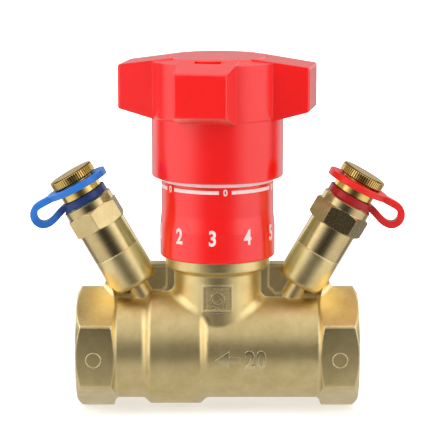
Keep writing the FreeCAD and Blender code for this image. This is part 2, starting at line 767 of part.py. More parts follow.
def waterways():
    """Everything that is hollow: the threaded mouths, the two chambers, the seat and the way up the neck."""
    tools = []
    for side, way in SIDES.items():
        mouth = body_half - pipe_thread_length
        inner_end = inlet_chamber_end if side == "inlet" else outlet_chamber_end
        outline = [
            (way * inner_end, 0.0),
            (way * body_half, 0.0),
            (way * body_half, pipe_thread_radius + pipe_mouth_chamfer),
            (way * (body_half - pipe_mouth_chamfer), pipe_thread_radius),
            (way * mouth, pipe_thread_radius),
            (way * (mouth - (pipe_thread_radius - chamber_radius)), chamber_radius),
            (way * inner_end, chamber_radius),
        ]
        tools.append(turned_solid(f"{side}_way", outline, "X"))
    under_length = inlet_chamber_end + under_channel_end
    under_bore = cylinder("under_bore", chamber_radius, under_length, x=-under_channel_end, turn=ALONG_X)
    under_box = box(
        "under_box", under_length, 2 * chamber_radius, chamber_radius + partition_bottom,
        x=-under_channel_end, y=-chamber_radius, z=-chamber_radius,
    )
    tools.append(shared("under_channel", [under_bore, under_box]))
    over_bore = cylinder("over_bore", chamber_radius, outlet_chamber_end, x=-outlet_chamber_end, turn=ALONG_X)
    over_box = box(
        "over_box", outlet_chamber_end, 2 * chamber_radius, chamber_radius,
        x=-outlet_chamber_end, y=-chamber_radius, z=seat_floor,
    )
    tools.append(shared("over_channel", [over_bore, over_box]))
    thread_bottom = neck_top - bonnet_thread_length - bonnet_thread_runout
    groove_radius = bonnet_thread_radius + thread_fit + bonnet_oring_groove
    outline = [
        (0.0, partition_bottom - 1),
        (seat_bore_radius, partition_bottom - 1),
        (seat_bore_radius, seat_level),
        (seat_lip_radius, seat_level),
        (seat_lip_radius, seat_floor),
        (plug_chamber_radius, seat_floor),
        (plug_chamber_radius, thread_bottom),
        (bonnet_thread_radius + thread_fit, thread_bottom),
        (bonnet_thread_radius + thread_fit, neck_top - bonnet_oring_groove),
        (groove_radius, neck_top - bonnet_oring_groove),
        (groove_radius, neck_top),
        (0.0, neck_top),
    ]
    tools.append(turned_solid("stem_way", outline, "Z"))
    for side in SIDES:
        hole_depth = spigot_length + spigot_hole_spare
        tools.append(
            cylinder(
                f"{side}_boss_hole", spigot_radius + thread_fit, hole_depth, **on_boss_axis(-hole_depth, side)
            )
        )
        groove_depth = test_oring_section + 2 * seal_gap
        tools.append(
            cylinder(
                f"{side}_boss_groove", spigot_radius + thread_fit + groove_depth, groove_depth,
                **on_boss_axis(-groove_depth, side),
            )
        )
        tools.append(
            cylinder(
                f"{side}_test_drill", test_drill_radius, test_drill_depth,
                **on_boss_axis(-test_drill_depth, side),
            )
        )
    return joined("waterways", tools)


def is_neck_root(edge):
    """Whether an edge is where the neck runs into the barrel."""
    if isinstance(edge.Curve, (Part.Line, Part.Circle)):
        return False
    extent = edge.BoundBox
    low = math.sqrt(max(barrel_radius.number ** 2 - neck_radius.number ** 2, 0)) - 0.5
    return extent.ZMin > low and extent.ZMax < band_radius.number + 0.5


def valve_body():
    trunk = rounded("trunk_rounded", joined("trunk", [barrel(), neck()]), is_neck_root, neck_root_round)
    castings = [hex_end(side) for side in SIDES] + [trunk]
    for side in SIDES:
        castings += boss(side)
    outside = joined("casting_outside", castings)
    padded = joined("casting_padded", [outside, raised_pad()])
    marked = less("casting_marked", padded, pad_recess())
    body = less("valve_body", marked, waterways())
    put_on_stem(body)
    return body


# Bonnet, its seals and the gland

def bonnet():
    thread_outer = bonnet_thread_radius
    thread_bottom = neck_top - bonnet_thread_length
    clip_groove_bottom = sleeve_web_top
    clip_groove_top = sleeve_web_top + sleeve_clip_thickness + slip_fit
    outline = [
        (spindle_thread_radius + running_fit, thread_bottom),
        (thread_outer, thread_bottom),
        (thread_outer, neck_top),
        (bonnet_corner, neck_top),
        (bonnet_corner, bonnet_hex_top),
        (tower_radius, bonnet_hex_top),
        (tower_radius, clip_groove_bottom),
        (tower_radius - sleeve_clip_depth, clip_groove_bottom),
        (tower_radius - sleeve_clip_depth, clip_groove_top),
        (tower_radius, clip_groove_top),
        (tower_radius, tower_top),
        (gland_radius, tower_top),
        (gland_radius, gland_bottom),
        (stem_radius + running_fit, gland_bottom),
        (stem_radius + running_fit, land_bottom),
        (relief_radius, land_bottom),
        (relief_radius, bonnet_nut_top),
        (spindle_thread_radius + running_fit, bonnet_nut_top),
    ]
    body = turned_body("bonnet", outline)
    mill_flats(body, "bonnet_hex", bonnet_flats, 6, flange_top, bonnet_hex_height, bonnet_corner + 1)
    put_on_stem(body)
    return body


def seal_ring(name, inner, outer, section, bottom):
    """An O-ring that lies in the middle of its groove, on the groove's floor."""
    ring = doc.addObject("Part::Torus", name)
    ring.setExpression("Radius1", ((inner + outer) / 2).text)
    ring.setExpression("Radius2", (section / 2).text)
    put(ring, z=pipe_rise + bottom + seal_gap + section / 2)
    return ring


def gland():
    """Two O-rings with a ring between them round the stem, and the nut that closes the gland."""
    lower = seal_ring("stem_oring_lower", stem_radius, gland_radius, stem_oring_section, gland_bottom)
    upper = seal_ring("stem_oring_upper", stem_radius, gland_radius, stem_oring_section, gland_ring_top)
    ring = turned_body("gland_ring", [
        (stem_radius + slip_fit, gland_ring_bottom),
        (gland_radius - slip_fit, gland_ring_bottom),
        (gland_radius - slip_fit, gland_ring_top),
        (stem_radius + slip_fit, gland_ring_top),
    ])
    put_on_stem(ring)
    corner = gland_nut_flats / 2 / cosine(30)
    nut = turned_body("gland_nut", [
        (stem_radius + running_fit, gland_nut_bottom),
        (gland_radius - thread_fit, gland_nut_bottom),
        (gland_radius - thread_fit, tower_top),
        (corner, tower_top),
        (corner, tower_top + gland_nut_head),
        (stem_radius + running_fit, tower_top + gland_nut_head),
    ])
    mill_flats(nut, "gland_nut_hex", gland_nut_flats, 6, tower_top, gland_nut_head, corner + 1)
    put_on_stem(nut)
    return [lower, upper, ring, nut]


def bonnet_oring():
    outer = bonnet_thread_radius + thread_fit + bonnet_oring_groove
    return seal_ring(
        "bonnet_oring", bonnet_thread_radius, outer, bonnet_oring_section, neck_top - bonnet_oring_groove
    )


# Number sleeve, keyed on the bonnet's hexagon and held by a spring clip

def number_sleeve():
    low_top = neck_top + sleeve_low_height
    taper_top = low_top + sleeve_taper_height
    inner = sleeve_upper_radius - sleeve_wall
    outline = [
        (sleeve_foot_radius, neck_top),
        (sleeve_radius - sleeve_edge_chamfer, neck_top),
        (sleeve_radius, neck_top + sleeve_edge_chamfer),
        (sleeve_radius, low_top),
        (sleeve_upper_radius, taper_top),
        (sleeve_upper_radius, sleeve_top),
        (inner, sleeve_top),
        (inner, sleeve_web_top),
        (tower_radius + slip_fit, sleeve_web_top),
        (tower_radius + slip_fit, sleeve_web_bottom),
        (sleeve_foot_radius, sleeve_web_bottom),
    ]
    body = turned_body("number_sleeve", outline)
    socket_flats = bonnet_flats + 2 * slip_fit
    socket_height = bonnet_hex_top + slip_fit - sleeve_web_bottom
    cut_through(
        body, "sleeve_socket", lambda sketch: draw_outline(sketch, polygon_corners(socket_flats, 6, 0.0)),
        sleeve_web_bottom, socket_height,
    )
    put_on_stem(body)
    return body


def sleeve_clip():
    bottom = sleeve_web_top
    top = sleeve_web_top + sleeve_clip_thickness
    inner = tower_radius - sleeve_clip_depth + slip_fit
    body = turned_body("sleeve_clip", [
        (inner, bottom),
        (sleeve_clip_radius, bottom),
        (sleeve_clip_radius, top),
        (inner, top),
    ])
    reach = sleeve_clip_radius + 1
    open_ring(body, "sleeve_clip_opening", sleeve_clip_mouth, reach, bottom, sleeve_clip_thickness)
    put_on_stem(body)
    return body


# Spindle and plug

def spindle():
    outline = [
        (0.0, spindle_head_bottom),
        (spindle_head_radius, spindle_head_bottom),
        (spindle_head_radius, spindle_neck_bottom),
        (spindle_neck_radius, spindle_neck_bottom),
        (spindle_neck_radius, spindle_neck_top),
        (spindle_head_radius, spindle_neck_top),
        (spindle_head_radius, spindle_thread_bottom),
        (spindle_thread_radius, spindle_thread_bottom),
        (spindle_thread_radius, spindle_thread_top),
        (stem_radius, spindle_thread_top),
        (stem_radius, square_top),
        (screw_thread_radius, square_top),
        (screw_thread_radius, square_top - screw_hole_depth),
        (0.0, square_top - screw_hole_depth),
    ]
    body = turned_body("spindle", outline)
    square_height = square_top - square_bottom
    mill_flats(body, "spindle_square", square_flats, 4, square_bottom, square_height, stem_radius + 2)
    put(body, z=pipe_rise, turn=about_z(-wheel_turn))
    return body


def valve_plug():
    bore = spindle_head_radius + slip_fit
    clip_bottom = spindle_neck_bottom + (spindle_neck_height - plug_clip_thickness) / 2
    groove_bottom = clip_bottom - slip_fit
    groove_top = clip_bottom + plug_clip_thickness + slip_fit
    groove_radius = plug_clip_radius + slip_fit
    plug = turned_body("valve_plug", [
        (0.0, plug_nut_bottom),
        (plug_stub_radius, plug_nut_bottom),
        (plug_stub_radius, seal_top),
        (plug_radius, seal_top),
        (plug_radius, plug_top),
        (bore, plug_top),
        (bore, groove_top),
        (groove_radius, groove_top),
        (groove_radius, groove_bottom),
        (bore, groove_bottom),
        (bore, spindle_head_bottom - slip_fit),
        (0.0, spindle_head_bottom - slip_fit),
    ])
    clip_inner = spindle_neck_radius + slip_fit * 2
    clip = turned_body("plug_clip", [
        (clip_inner, clip_bottom),
        (plug_clip_radius, clip_bottom),
        (plug_clip_radius, clip_bottom + plug_clip_thickness),
        (clip_inner, clip_bottom + plug_clip_thickness),
    ])
    open_ring(clip, "plug_clip_mouth", clip_mouth, plug_clip_radius + 1, clip_bottom, plug_clip_thickness)
    seal = turned_body("plug_seal", [
        (plug_stub_radius + slip_fit, seal_bottom),
        (seal_radius, seal_bottom),
        (seal_radius, seal_top),
        (plug_stub_radius + slip_fit, seal_top),
    ])
    cone = turned_body("regulating_cone", [
        (plug_stub_radius + slip_fit, cone_bottom),
        (cone_tip_radius, cone_bottom),
        (seat_bore_radius - cone_gap, partition_bottom),
        (seat_bore_radius - cone_gap, seal_bottom),
        (plug_stub_radius + slip_fit, seal_bottom),
    ])
    corner = plug_nut_flats / 2 / cosine(30)
    nut = turned_body("plug_nut", [
        (plug_stub_radius + thread_fit, plug_nut_bottom),
        (corner, plug_nut_bottom),
        (corner, cone_bottom),
        (plug_stub_radius + thread_fit, cone_bottom),
    ])
    mill_flats(nut, "plug_nut_hex", plug_nut_flats, 6, plug_nut_bottom, plug_nut_height, corner + 1)
    pieces = [plug, clip, seal, cone, nut]
    for piece in pieces:
        put_on_stem(piece)
    return pieces


# Handwheel: a skirt over the sleeve, a sloping crown and four arms

def wheel_top_at(radius):
    """The level of the sloping crown at a distance from the stem."""
    return wheel_rim_level - (radius - disc_radius) * tangent(wheel_slope)


def arm_block(turn):
    """A wedge that runs out from the hub, narrowing outwards, its top and its underside sloping."""
    def half_width(radius):
        return arm_tip_half_width + (arm_tip_radius - radius) * tangent(arm_flare_angle)

    def floor(radius):
        return arm_tip_bottom - (arm_tip_radius - radius) * tangent(arm_under_slope)

    inner = skirt_radius / 2
    outer = arm_tip_radius
    wedge = doc.addObject("Part::Wedge", f"arm_{turn}")
    values = {
        "Ymin": inner, "Ymax": outer,
        "Xmin": -half_width(inner), "Xmax": half_width(inner),
        "X2min": -half_width(outer), "X2max": half_width(outer),
        "Zmin": floor(inner), "Zmax": wheel_top_at(inner),
        "Z2min": floor(outer), "Z2max": wheel_top_at(outer),
    }
    for side_of_wedge, value in values.items():
        wedge.setExpression(side_of_wedge, value.text)
    put(wedge, turn=about_z(turn))
    return wedge


def is_arm_edge(edge):
    """Whether an edge is one of the two upright corners of an arm's end, or the end's upper edge."""
    box_of_edge = edge.BoundBox
    middle = box_of_edge.Center
    far = math.hypot(middle.x, middle.y) > arm_tip_radius.number - 0.2
    return far and isinstance(edge.Curve, Part.Line)


def is_skirt_edge(edge):
    """Whether an edge is the skirt's lower outer edge."""
    return is_circle(edge, skirt_radius) and edge.BoundBox.Center.z < wheel_step_level.number - 1


def handwheel():
    shell = turned_solid("wheel_shell", [
        (0.0, skirt_bottom),
        (skirt_radius, skirt_bottom),
        (skirt_radius, wheel_step_level),
        (wheel_wall_radius, wheel_step_level + wheel_step),
        (wheel_wall_radius, wheel_top_at(wheel_wall_radius)),
        (disc_radius, wheel_rim_level),
        (0.0, wheel_rim_level),
    ], "Z")
    soft_shell = rounded("wheel_shell_rounded", shell, is_skirt_edge, skirt_edge_round)
    arms = [arm_block(90 * quarter) for quarter in range(4)]
    solid_wheel = joined("wheel_outside", [soft_shell] + arms)
    smooth_wheel = rounded("wheel_rounded", solid_wheel, is_arm_edge, arm_edge_round)
    cavity = turned_solid("wheel_cavity", [
        (0.0, skirt_bottom),
        (skirt_inner, skirt_bottom),
        (skirt_inner, crown_bottom),
        (0.0, crown_bottom),
    ], "Z")
    seat = turned_solid("disc_seat", [
        (0.0, disc_seat_level),
        (disc_seat_radius, disc_seat_level),
        (disc_seat_radius, wheel_rim_level + 1),
        (0.0, wheel_rim_level + 1),
    ], "Z")
    notch_inner = disc_radius - pry_notch_length / 2
    notch = box(
        "pry_notch", pry_notch_width, pry_notch_length * 1.5, pry_notch_depth + 1,
        x=-pry_notch_width / 2, y=-notch_inner - pry_notch_length * 1.5, z=wheel_rim_level - pry_notch_depth,
    )
    hollow = less("wheel_hollow", smooth_wheel, joined("wheel_cuts", [cavity, seat, notch]))
    hub_top = crown_bottom + crown_thickness / 2
    hub = cylinder("wheel_hub", hub_radius, hub_top - square_bottom, z=square_bottom)
    rib_reach = skirt_inner + slip_fit
    rib_height = hub_top - wheel_rib_bottom
    rib_along_x = box(
        "wheel_rib_x", 2 * rib_reach, wheel_rib_thickness, rib_height,
        x=-rib_reach, y=-wheel_rib_thickness / 2, z=wheel_rib_bottom,
    )
    rib_along_y = box(
        "wheel_rib_y", wheel_rib_thickness, 2 * rib_reach, rib_height,
        x=-wheel_rib_thickness / 2, y=-rib_reach, z=wheel_rib_bottom,
    )
    full = joined("wheel_full", [hollow, hub, rib_along_x, rib_along_y])
    socket_flats = square_flats + slip_fit
    socket_height = hub_floor - square_bottom
    socket_box = box(
        "socket_box", socket_flats, socket_flats, socket_height,
        x=-socket_flats / 2, y=-socket_flats / 2, z=square_bottom,
    )
    socket_round = cylinder("socket_round", stem_radius + slip_fit, socket_height, z=square_bottom)
    socket = shared("square_socket", [socket_box, socket_round])
    well = cylinder("screw_well", hub_well_radius, disc_seat_level - hub_top_face, z=hub_top_face)
    hole_height = hub_top_face - square_bottom
    hole = cylinder("screw_hole", screw_thread_radius + slip_fit, hole_height, z=square_bottom)
    wheel = less("handwheel", full, joined("hub_cuts", [socket, well, hole]))
    put(wheel, z=pipe_rise, turn=about_z(-wheel_turn))
    return wheel


def disc_and_screw():
    """The snap-in disc over the hub, and under it the screw and washer that hold the wheel on the square."""
    disc_top = disc_seat_level + disc_thickness
    disc = turned_body("handwheel_disc", [
        (0.0, disc_seat_level),
        (hub_well_radius - slip_fit - disc_peg_wall, disc_seat_level),
        (hub_well_radius - slip_fit - disc_peg_wall, disc_seat_level - disc_peg_length),
        (hub_well_radius - slip_fit, disc_seat_level - disc_peg_length),
        (hub_well_radius - slip_fit, disc_seat_level),
        (disc_radius, disc_seat_level),
        (disc_radius, disc_top - disc_edge_chamfer),
        (disc_radius - disc_edge_chamfer, disc_top),
        (0.0, disc_top),
    ])
    washer = turned_body("screw_washer", [
        (screw_thread_radius + slip_fit, hub_top_face),
        (washer_radius, hub_top_face),
        (washer_radius, screw_seat),
        (screw_thread_radius + slip_fit, screw_seat),
    ])
    screw = turned_body("handwheel_screw", [
        (0.0, screw_seat - screw_length),
        (screw_thread_radius - thread_fit, screw_seat - screw_length),
        (screw_thread_radius - thread_fit, screw_seat),
        (screw_head_radius, screw_seat),
        (screw_head_radius, screw_seat + screw_head_height),
        (0.0, screw_seat + screw_head_height),
    ])
    key_bottom = screw_seat + screw_head_height - screw_key_depth
    cut_through(
        screw, "screw_key", lambda sketch: draw_outline(sketch, polygon_corners(screw_key_flats, 6, 0.0)),
        key_bottom, screw_key_depth,
    )
    pieces = [disc, washer, screw]
    for piece in pieces:
        put(piece, z=pipe_rise, turn=about_z(-wheel_turn))
    return pieces


# Test points, one on each boss, each with a screwed cap on a plastic strap

HEX_TURNS = {"inlet": 0.0, "outlet": 30.0}
COLOURS = {"inlet": "red", "outlet": "blue"}


def test_point(side):
    """The brass fitting, its O-ring, the soft core that closes by itself and the bush that holds the core."""
    corner = test_hex_flats / 2 / cosine(30)
    body = turned_body(f"{side}_test_point", [
        (test_drill_radius, -spigot_length),
        (spigot_radius, -spigot_length),
        (spigot_radius, 0.0),
        (boss_radius, 0.0),
        (boss_radius, barrel_end),
        (test_hex_flats / 2, barrel_end),
        (corner, barrel_end + test_hex_chamfer),
        (corner, test_hex_end - test_hex_chamfer),
        (test_collar_radius, test_hex_end),
        (test_collar_radius, test_collar_end - test_collar_chamfer),
        (test_collar_radius - test_collar_chamfer, test_collar_end),
        (nozzle_radius, test_collar_end),
        (nozzle_radius, nozzle_end),
        (septum_radius, nozzle_end),
        (septum_radius, septum_bottom),
        (test_drill_radius, septum_bottom),
    ])
    hex_height = test_hex_end - barrel_end
    mill_flats(
        body, f"{side}_test_hex", test_hex_flats, 6, barrel_end, hex_height, corner + 1, HEX_TURNS[side]
    )
    groove = test_oring_section + 2 * seal_gap
    ring = doc.addObject("Part::Torus", f"{side}_test_oring")
    ring.setExpression("Radius1", (spigot_radius + thread_fit / 2 + groove / 2).text)
    ring.setExpression("Radius2", (test_oring_section / 2).text)
    septum_top = septum_bottom + septum_length
    septum = turned_body(f"{side}_test_core", [
        (0.0, septum_bottom),
        (septum_radius - thread_fit, septum_bottom),
        (septum_radius - thread_fit, septum_top),
        (0.0, septum_top),
    ])
    bush = turned_body(f"{side}_core_bush", [
        (bush_hole_radius, septum_top),
        (septum_radius - thread_fit, septum_top),
        (septum_radius - thread_fit, nozzle_end),
        (bush_hole_radius, nozzle_end),
    ])
    for piece in (body, septum, bush):
        put_on_test_point(piece, side)
    place_oring_on_test_point(ring, groove, side)
    return [body, ring, septum, bush]


def place_oring_on_test_point(ring, groove, side):
    """The O-ring lies in the top of the boss's hole, halfway down its groove."""
    down = groove / 2
    place = on_boss_axis(-down, side)
    put(ring, x=place["x"], z=place["z"] + pipe_rise, turn=place["turn"])


def cap(side):
    """The knurled cap with its waist for the strap, and the gasket that seals on the nozzle."""
    name = f"{COLOURS[side]}_cap"
    inner = nozzle_radius + running_fit
    body = turned_body(name, [
        (0.0, gasket_top),
        (inner, gasket_top),
        (inner, cap_bottom),
        (cap_flange_radius, cap_bottom),
        (cap_flange_radius, cap_groove_bottom),
        (cap_groove_radius, cap_groove_bottom),
        (cap_groove_radius, cap_groove_top),
        (cap_head_radius - cap_edge_chamfer, cap_groove_top),
        (cap_head_radius, cap_groove_top + cap_edge_chamfer),
        (cap_head_radius, cap_top - cap_edge_chamfer),
        (cap_head_radius - cap_edge_chamfer, cap_top),
        (0.0, cap_top),
    ])
    half_pitch = math.pi * cap_head_radius / knurl_count * 0.7
    past = cap_head_radius + 0.2
    corners = [
        (cap_head_radius - knurl_depth, 0.0),
        (past, -half_pitch),
        (past, half_pitch),
    ]
    head_height = cap_top - cap_groove_top
    first = cut_through(
        body, f"{name}_knurl", lambda sketch: draw_outline(sketch, corners), cap_groove_top, head_height
    )
    knurls = body.newObject("PartDesign::PolarPattern", f"{name}_knurls")
    knurls.Originals = [first]
    knurls.Axis = (first.Profile[0], ["N_Axis"])
    knurls.Angle = 360
    knurls.setExpression("Occurrences", knurl_count.text)
    body.Tip = knurls
    gasket = turned_body(f"{name}_gasket", [
        (0.0, gasket_bottom),
        (inner - slip_fit, gasket_bottom),
        (inner - slip_fit, gasket_top),
        (0.0, gasket_top),
    ])
    pieces = [body, gasket]
    for piece in pieces:
        put_on_test_point(piece, side)
    return pieces


def band_face(line, half_thickness):
    """The face between two curves that run beside a line in the XZ plane, at half a thickness from it."""
    first, last = line.FirstParameter, line.LastParameter
    steps = 32
    sides = []
    for way in (1, -1):
        points = []
        for step in range(steps + 1):
            place = first + (last - first) * step / steps
            ahead = line.tangent(place)[0]
            across = FreeCAD.Vector(-ahead.z, 0, ahead.x)
            points.append(line.value(place) + across * (way * half_thickness))
        curve = Part.BSplineCurve()
        curve.interpolate(points)
        sides.append((curve.toShape(), points))
    (near, near_points), (far, far_points) = sides
    ends = [Part.makeLine(near_points[end], far_points[end]) for end in (0, -1)]
    return Part.Face(Part.Wire(Part.__sortEdges__([near, ends[1], far, ends[0]])))


def strap(side):
    """One moulded strap: a ring under the cap's head, a ring under its foot, and the loop that joins them."""
    thickness = sheet.get("strap_thickness")
    upper_radius = sheet.get("strap_upper_radius")
    upper_thickness = sheet.get("strap_upper_thickness")
    lower_radius = sheet.get("strap_lower_radius")
    lower_thickness = sheet.get("strap_lower_thickness")
    reach = sheet.get("strap_loop_reach")
    belly = sheet.get("strap_loop_belly")
    bend = sheet.get("strap_loop_bend")
    upper_level = (sheet.get("cap_groove_bottom") + sheet.get("cap_groove_top")) / 2
    lower_level = sheet.get("test_collar_end") + sheet.get("thread_fit") + lower_thickness / 2
    upper_start = upper_radius - thickness / 2
    lower_start = lower_radius - thickness / 2
    rise = reach - upper_start
    route = [
        (upper_start - 1.5, upper_level + 0.1),
        (upper_start, upper_level + 0.15),
        (upper_start + rise * 0.38, upper_level + 0.2),
        (upper_start + rise * 0.85, upper_level - 0.4),
        (reach, upper_level - bend),
        (reach, belly + bend),
        (upper_start + rise * 0.85, belly + 0.5),
        (upper_start + rise * 0.55, belly),
        (upper_start + rise * 0.24, belly + 0.5),
        (lower_start + 2.4, lower_level - 0.35),
        (lower_start, lower_level),
    ]
    line = Part.BSplineCurve()
    line.interpolate([FreeCAD.Vector(out, 0, level) for out, level in route])
    half_width = FreeCAD.Vector(0, sheet.get("strap_width") / 2, 0)
    band = band_face(line, thickness / 2)
    band.translate(-half_width)
    loop = band.extrude(2 * half_width)
    middle = FreeCAD.Vector(0, 0, 0)
    under = FreeCAD.Vector(0, 0, -upper_thickness / 2)
    upper = Part.makeCylinder(upper_radius, upper_thickness, under, Z_AXIS)
    upper.rotate(middle, FreeCAD.Vector(0, 1, 0), -sheet.get("strap_upper_tilt"))
    upper.translate(FreeCAD.Vector(0, 0, upper_level))
    foot = FreeCAD.Vector(0, 0, lower_level - lower_thickness / 2)
    lower = Part.makeCylinder(lower_radius, lower_thickness, foot, Z_AXIS)
    hole = Part.makeCylinder(sheet.get("strap_ring_inner"), sheet.get("cap_top"), middle, Z_AXIS)
    thing = doc.addObject("Part::Feature", f"{COLOURS[side]}_strap")
    thing.Shape = upper.fuse([lower, loop]).cut(hole).removeSplitter()
    put_on_test_point(thing, side)
    return thing


# Building and writing

def build():
    pieces = [valve_body(), bonnet(), bonnet_oring()] + gland()
    pieces += [number_sleeve(), sleeve_clip(), spindle()] + valve_plug()
    pieces += [handwheel()] + disc_and_screw()
    for side in SIDES:
        pieces += test_point(side) + cap(side) + [strap(side)]
    for piece in pieces:
        piece.Label = piece.Name
    doc.recompute()
    return pieces


def check(pieces):
    """Stop if an object failed to build, or a piece is not one valid solid."""
    for thing in doc.Objects:
        if "Invalid" in thing.State or "Error" in thing.State:
            raise RuntimeError(f"{thing.Name} did not build: {thing.State}")
    for piece in pieces:
        shape = piece.Shape
        if shape.isNull() or not shape.isValid() or len(shape.Solids) != 1:
            raise RuntimeError(f"{piece.Name} is not one valid solid")


def write(pieces):
    os.makedirs("parts", exist_ok=True)
    for piece in pieces:
        piece.Shape.exportStep(f"parts/{piece.Label}.step")


PIECES = build()
check(PIECES)
write(PIECES)
for piece in PIECES:
    print(piece.Label, round(piece.Shape.Volume, 1))
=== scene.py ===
import json
import math

import bmesh
import bpy
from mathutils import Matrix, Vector


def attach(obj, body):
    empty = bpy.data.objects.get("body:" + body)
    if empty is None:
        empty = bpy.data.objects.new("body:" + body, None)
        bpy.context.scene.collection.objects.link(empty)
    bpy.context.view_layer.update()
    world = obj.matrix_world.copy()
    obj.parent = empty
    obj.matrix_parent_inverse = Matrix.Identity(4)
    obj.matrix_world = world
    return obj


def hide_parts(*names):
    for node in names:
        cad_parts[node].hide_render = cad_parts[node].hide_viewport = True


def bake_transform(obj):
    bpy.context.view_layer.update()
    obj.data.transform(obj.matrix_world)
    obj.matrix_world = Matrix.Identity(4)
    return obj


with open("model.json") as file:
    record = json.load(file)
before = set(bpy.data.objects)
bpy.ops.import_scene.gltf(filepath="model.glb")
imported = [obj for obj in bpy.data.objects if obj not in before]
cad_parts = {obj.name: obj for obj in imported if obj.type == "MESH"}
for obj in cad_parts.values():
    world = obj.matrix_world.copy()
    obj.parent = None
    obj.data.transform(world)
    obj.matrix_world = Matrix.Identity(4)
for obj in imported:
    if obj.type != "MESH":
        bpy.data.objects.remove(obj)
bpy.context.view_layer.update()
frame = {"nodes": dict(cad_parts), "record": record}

# The circuit balancing valve, in metres, as the CAD has it: the pipe runs along X, the stem points up,
# and the front of the valve, with its square pad, faces -Y.

MM = 0.001
PIPE_AXIS = Vector(frame["record"]["mounts"][0]["pos_m"]).z


# Node trees: small helpers, then the effects that several finishes share.

def link(tree, out_socket, in_socket):
    tree.links.new(out_socket, in_socket)


def add_node(tree, kind, **settings):
    node = tree.nodes.new(kind)
    for key, value in settings.items():
        setattr(node, key, value)
    return node


def effect_group(name, inputs, outputs):
    """An empty shader group with its two end nodes. Sockets are (name, type) or (name, type, default)."""
    group = bpy.data.node_groups.new(name, "ShaderNodeTree")
    for direction, sockets in (("INPUT", inputs), ("OUTPUT", outputs)):
        for socket in sockets:
            made = group.interface.new_socket(socket[0], in_out=direction, socket_type=socket[1])
            if len(socket) > 2:
                made.default_value = socket[2]
    start = group.nodes.new("NodeGroupInput")
    end = group.nodes.new("NodeGroupOutput")
    return group, start, end


def scaled_noise(tree, vector, scale, detail=2.0, roughness=0.5):
    noise = add_node(tree, "ShaderNodeTexNoise")
    noise.inputs["Detail"].default_value = detail
    noise.inputs["Roughness"].default_value = roughness
    link(tree, vector, noise.inputs["Vector"])
    if isinstance(scale, float):
        noise.inputs["Scale"].default_value = scale
    else:
        link(tree, scale, noise.inputs["Scale"])
    return noise.outputs["Fac"]


def math_node(tree, operation, first, second=None):
    node = add_node(tree, "ShaderNodeMath", operation=operation)
    for socket, value in zip(node.inputs, (first, second)):
        if value is None:
            continue
        if isinstance(value, (int, float)):
            socket.default_value = value
        else:
            link(tree, value, socket)
    return node.outputs[0]


def map_range(tree, value, low, high, to_low=0.0, to_high=1.0, smooth=False):
    node = add_node(tree, "ShaderNodeMapRange")
    if smooth:
        node.interpolation_type = "SMOOTHSTEP"
    link(tree, value, node.inputs["Value"])
    for name, number in (("From Min", low), ("From Max", high), ("To Min", to_low), ("To Max", to_high)):
        node.inputs[name].default_value = number
    return node.outputs[0]


def make_mottle():
    """Soft cloudy variation between two colours, at the size given by its scale."""
    group, start, end = effect_group(
        "mottle",
        [("Vector", "NodeSocketVector"), ("Scale", "NodeSocketFloat", 200.0),
         ("Light", "NodeSocketColor"), ("Dark", "NodeSocketColor"), ("Amount", "NodeSocketFloat", 0.5)],
        [("Color", "NodeSocketColor")],
    )
    cloud = scaled_noise(group, start.outputs["Vector"], start.outputs["Scale"], 3.0, 0.6)
    mask = map_range(group, cloud, 0.35, 0.65)
    amount = math_node(group, "MULTIPLY", mask, start.outputs["Amount"])
    mix = add_node(group, "ShaderNodeMix", data_type="RGBA")
    link(group, amount, mix.inputs["Factor"])
    link(group, start.outputs["Light"], mix.inputs["A"])
    link(group, start.outputs["Dark"], mix.inputs["B"])
    link(group, mix.outputs["Result"], end.inputs["Color"])
    return group


def make_grain():
    """The fine uneven skin of shot-blasted or moulded surfaces, as a height and as a mask."""
    group, start, end = effect_group(
        "surface_grain",
        [("Vector", "NodeSocketVector"), ("Grain Scale", "NodeSocketFloat", 2500.0),
         ("Wave Scale", "NodeSocketFloat", 300.0), ("Wave Share", "NodeSocketFloat", 0.5)],
        [("Height", "NodeSocketFloat"), ("Mask", "NodeSocketFloat")],
    )
    grain = scaled_noise(group, start.outputs["Vector"], start.outputs["Grain Scale"], 2.0, 0.6)
    wave = scaled_noise(group, start.outputs["Vector"], start.outputs["Wave Scale"], 2.0, 0.5)
    waves = math_node(group, "MULTIPLY", wave, start.outputs["Wave Share"])
    link(group, math_node(group, "ADD", grain, waves), end.inputs["Height"])
    link(group, grain, end.inputs["Mask"])
    return group


def make_turning_marks():
    """Fine rings left by a lathe tool, round the Z axis of the vector that comes in."""
    group, start, end = effect_group(
        "turning_marks",
        [("Vector", "NodeSocketVector"), ("Ring Scale", "NodeSocketFloat", 6000.0)],
        [("Height", "NodeSocketFloat"), ("Mask", "NodeSocketFloat")],
    )
    parts = add_node(group, "ShaderNodeSeparateXYZ")
    link(group, start.outputs["Vector"], parts.inputs["Vector"])
    across = math_node(group, "SQRT", math_node(
        group, "ADD",
        math_node(group, "MULTIPLY", parts.outputs["X"], parts.outputs["X"]),
        math_node(group, "MULTIPLY", parts.outputs["Y"], parts.outputs["Y"]),
    ))
    place = add_node(group, "ShaderNodeCombineXYZ")
    link(group, across, place.inputs["X"])
    link(group, parts.outputs["Z"], place.inputs["Z"])
    rings = scaled_noise(group, place.outputs["Vector"], start.outputs["Ring Scale"], 2.0, 0.7)
    link(group, rings, end.inputs["Height"])
    link(group, map_range(group, rings, 0.3, 0.7), end.inputs["Mask"])
    return group


